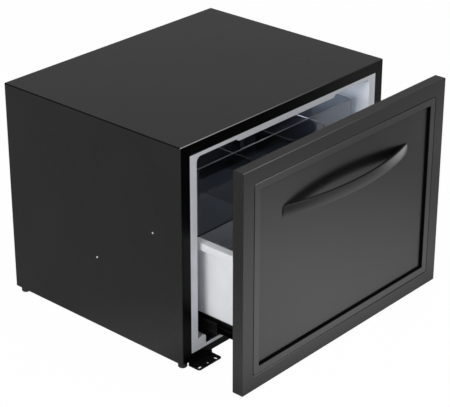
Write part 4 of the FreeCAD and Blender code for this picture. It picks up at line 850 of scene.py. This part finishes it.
# Studio: floor, world, lamps and camera

def glow(owner, kind, strength):
    """White light from a node of that kind."""
    return add_node(owner, kind, {"Color": WHITE, "Strength": strength}).outputs[0]


def round_area(material, place, centre, radii, level, beyond):
    """Level about a centre that fades between the radii."""
    distance = vector_work(material, "DISTANCE", place, centre)["Value"]
    return between(material, distance, level, beyond, radii)


def mirrored_level(material):
    """How bright glossy rays see the floor."""
    place = object_place(material)
    pool = round_area(material, place, **POOL)
    side_pool = round_area(material, place, **SIDE_POOL)
    lit = worked_out(material, "ADD", pool, side_pool)
    off = vector_work(material, "SUBTRACT", place, SHADE_MIDDLE)["Vector"]
    reach = vector_work(material, "ABSOLUTE", off)["Vector"]
    past = vector_work(material, "SUBTRACT", reach, SHADE_HALF)["Vector"]
    sides = add_node(material, "ShaderNodeSeparateXYZ", {"Vector": past}).outputs
    edge = worked_out(material, "MAXIMUM", sides["X"], sides["Y"])
    shade = between(material, edge, SHADE_LEVEL, 1.0, (0.0, SHADE_SOFT))
    far_shade = round_area(material, place, **FAR_SHADE)
    return worked_out(material, "MULTIPLY", lit, worked_out(material, "MULTIPLY", shade, far_shade))


def floor_material():
    """White to the camera but for faint shadows, with its own lit areas and shades for glossy rays."""
    material = bpy.data.materials.new("studio_floor")
    material.use_nodes = True
    material.node_tree.nodes.clear()
    output = add_node(material, "ShaderNodeOutputMaterial")
    rays = add_node(material, "ShaderNodeLightPath").outputs
    matt = add_node(material, "ShaderNodeBsdfDiffuse", {"Color": FLOOR_COLOUR}).outputs["BSDF"]
    white = glow(material, "ShaderNodeEmission", 1.0)
    lit = glow(material, "ShaderNodeEmission", mirrored_level(material))
    seen = worked_out(material, "MULTIPLY", rays["Is Camera Ray"], FLOOR_OWN_WHITE)
    shown = mixed_shader(material, seen, matt, white)
    mirrored = mixed_shader(material, rays["Is Glossy Ray"], shown, lit)
    through = mixed_shader(material, rays["Is Transmission Ray"], mirrored, white)
    material.node_tree.links.new(through, output.inputs["Surface"])
    return material


def studio_floor():
    mesh = bpy.data.meshes.new("studio_floor")
    half = FLOOR_SIZE / 2
    corners = [(-half, -half, FLOOR), (half, -half, FLOOR), (half, half, FLOOR), (-half, half, FLOOR)]
    mesh.from_pydata(corners, [], [(0, 1, 2, 3)])
    mesh.materials.append(floor_material())
    new_object("studio_floor", mesh)


def studio_world():
    """Even light all round, plain white to the camera and through clear plastic."""
    world = bpy.data.worlds.new("studio_world")
    bpy.context.scene.world = world
    world.use_nodes = True
    world.node_tree.nodes.clear()
    output = add_node(world, "ShaderNodeOutputWorld")
    rays = add_node(world, "ShaderNodeLightPath").outputs
    light = glow(world, "ShaderNodeBackground", WORLD_LEVEL)
    white = glow(world, "ShaderNodeBackground", 1.0)
    seen = worked_out(world, "MAXIMUM", rays["Is Camera Ray"], rays["Is Transmission Ray"])
    world.node_tree.links.new(mixed_shader(world, seen, light, white), output.inputs["Surface"])


def lamp(name, place, size, power, aim=CABINET_MIDDLE, colour=(1, 1, 1)):
    """Square soft box that faces a point."""
    data = bpy.data.lights.new(name, "AREA")
    data.shape = "SQUARE"
    data.size = size
    data.energy = power
    data.color = colour
    made = new_object(name, data)
    made.location = place
    made.rotation_euler = (Vector(aim) - Vector(place)).to_track_quat("-Z", "Y").to_euler()
    made.visible_camera = False


def studio_camera():
    data = bpy.data.cameras.new("studio_camera")
    data.sensor_width = SENSOR
    data.sensor_fit = "HORIZONTAL"
    data.lens = FOCAL_PIXELS / PICTURE_WIDTH * SENSOR
    data.shift_y = SHIFT_PIXELS / PICTURE_WIDTH
    camera = new_object("studio_camera", data)
    camera.location = CAMERA_PLACE
    camera.rotation_euler = (math.radians(90 - CAMERA_ELEVATION), 0, math.radians(CAMERA_AZIMUTH))
    bpy.context.scene.camera = camera


studio_floor()
studio_world()
for lamp_name, values in LAMPS.items():
    lamp(lamp_name, **values)
studio_camera()
bpy.context.scene.view_settings.view_transform = "Standard"
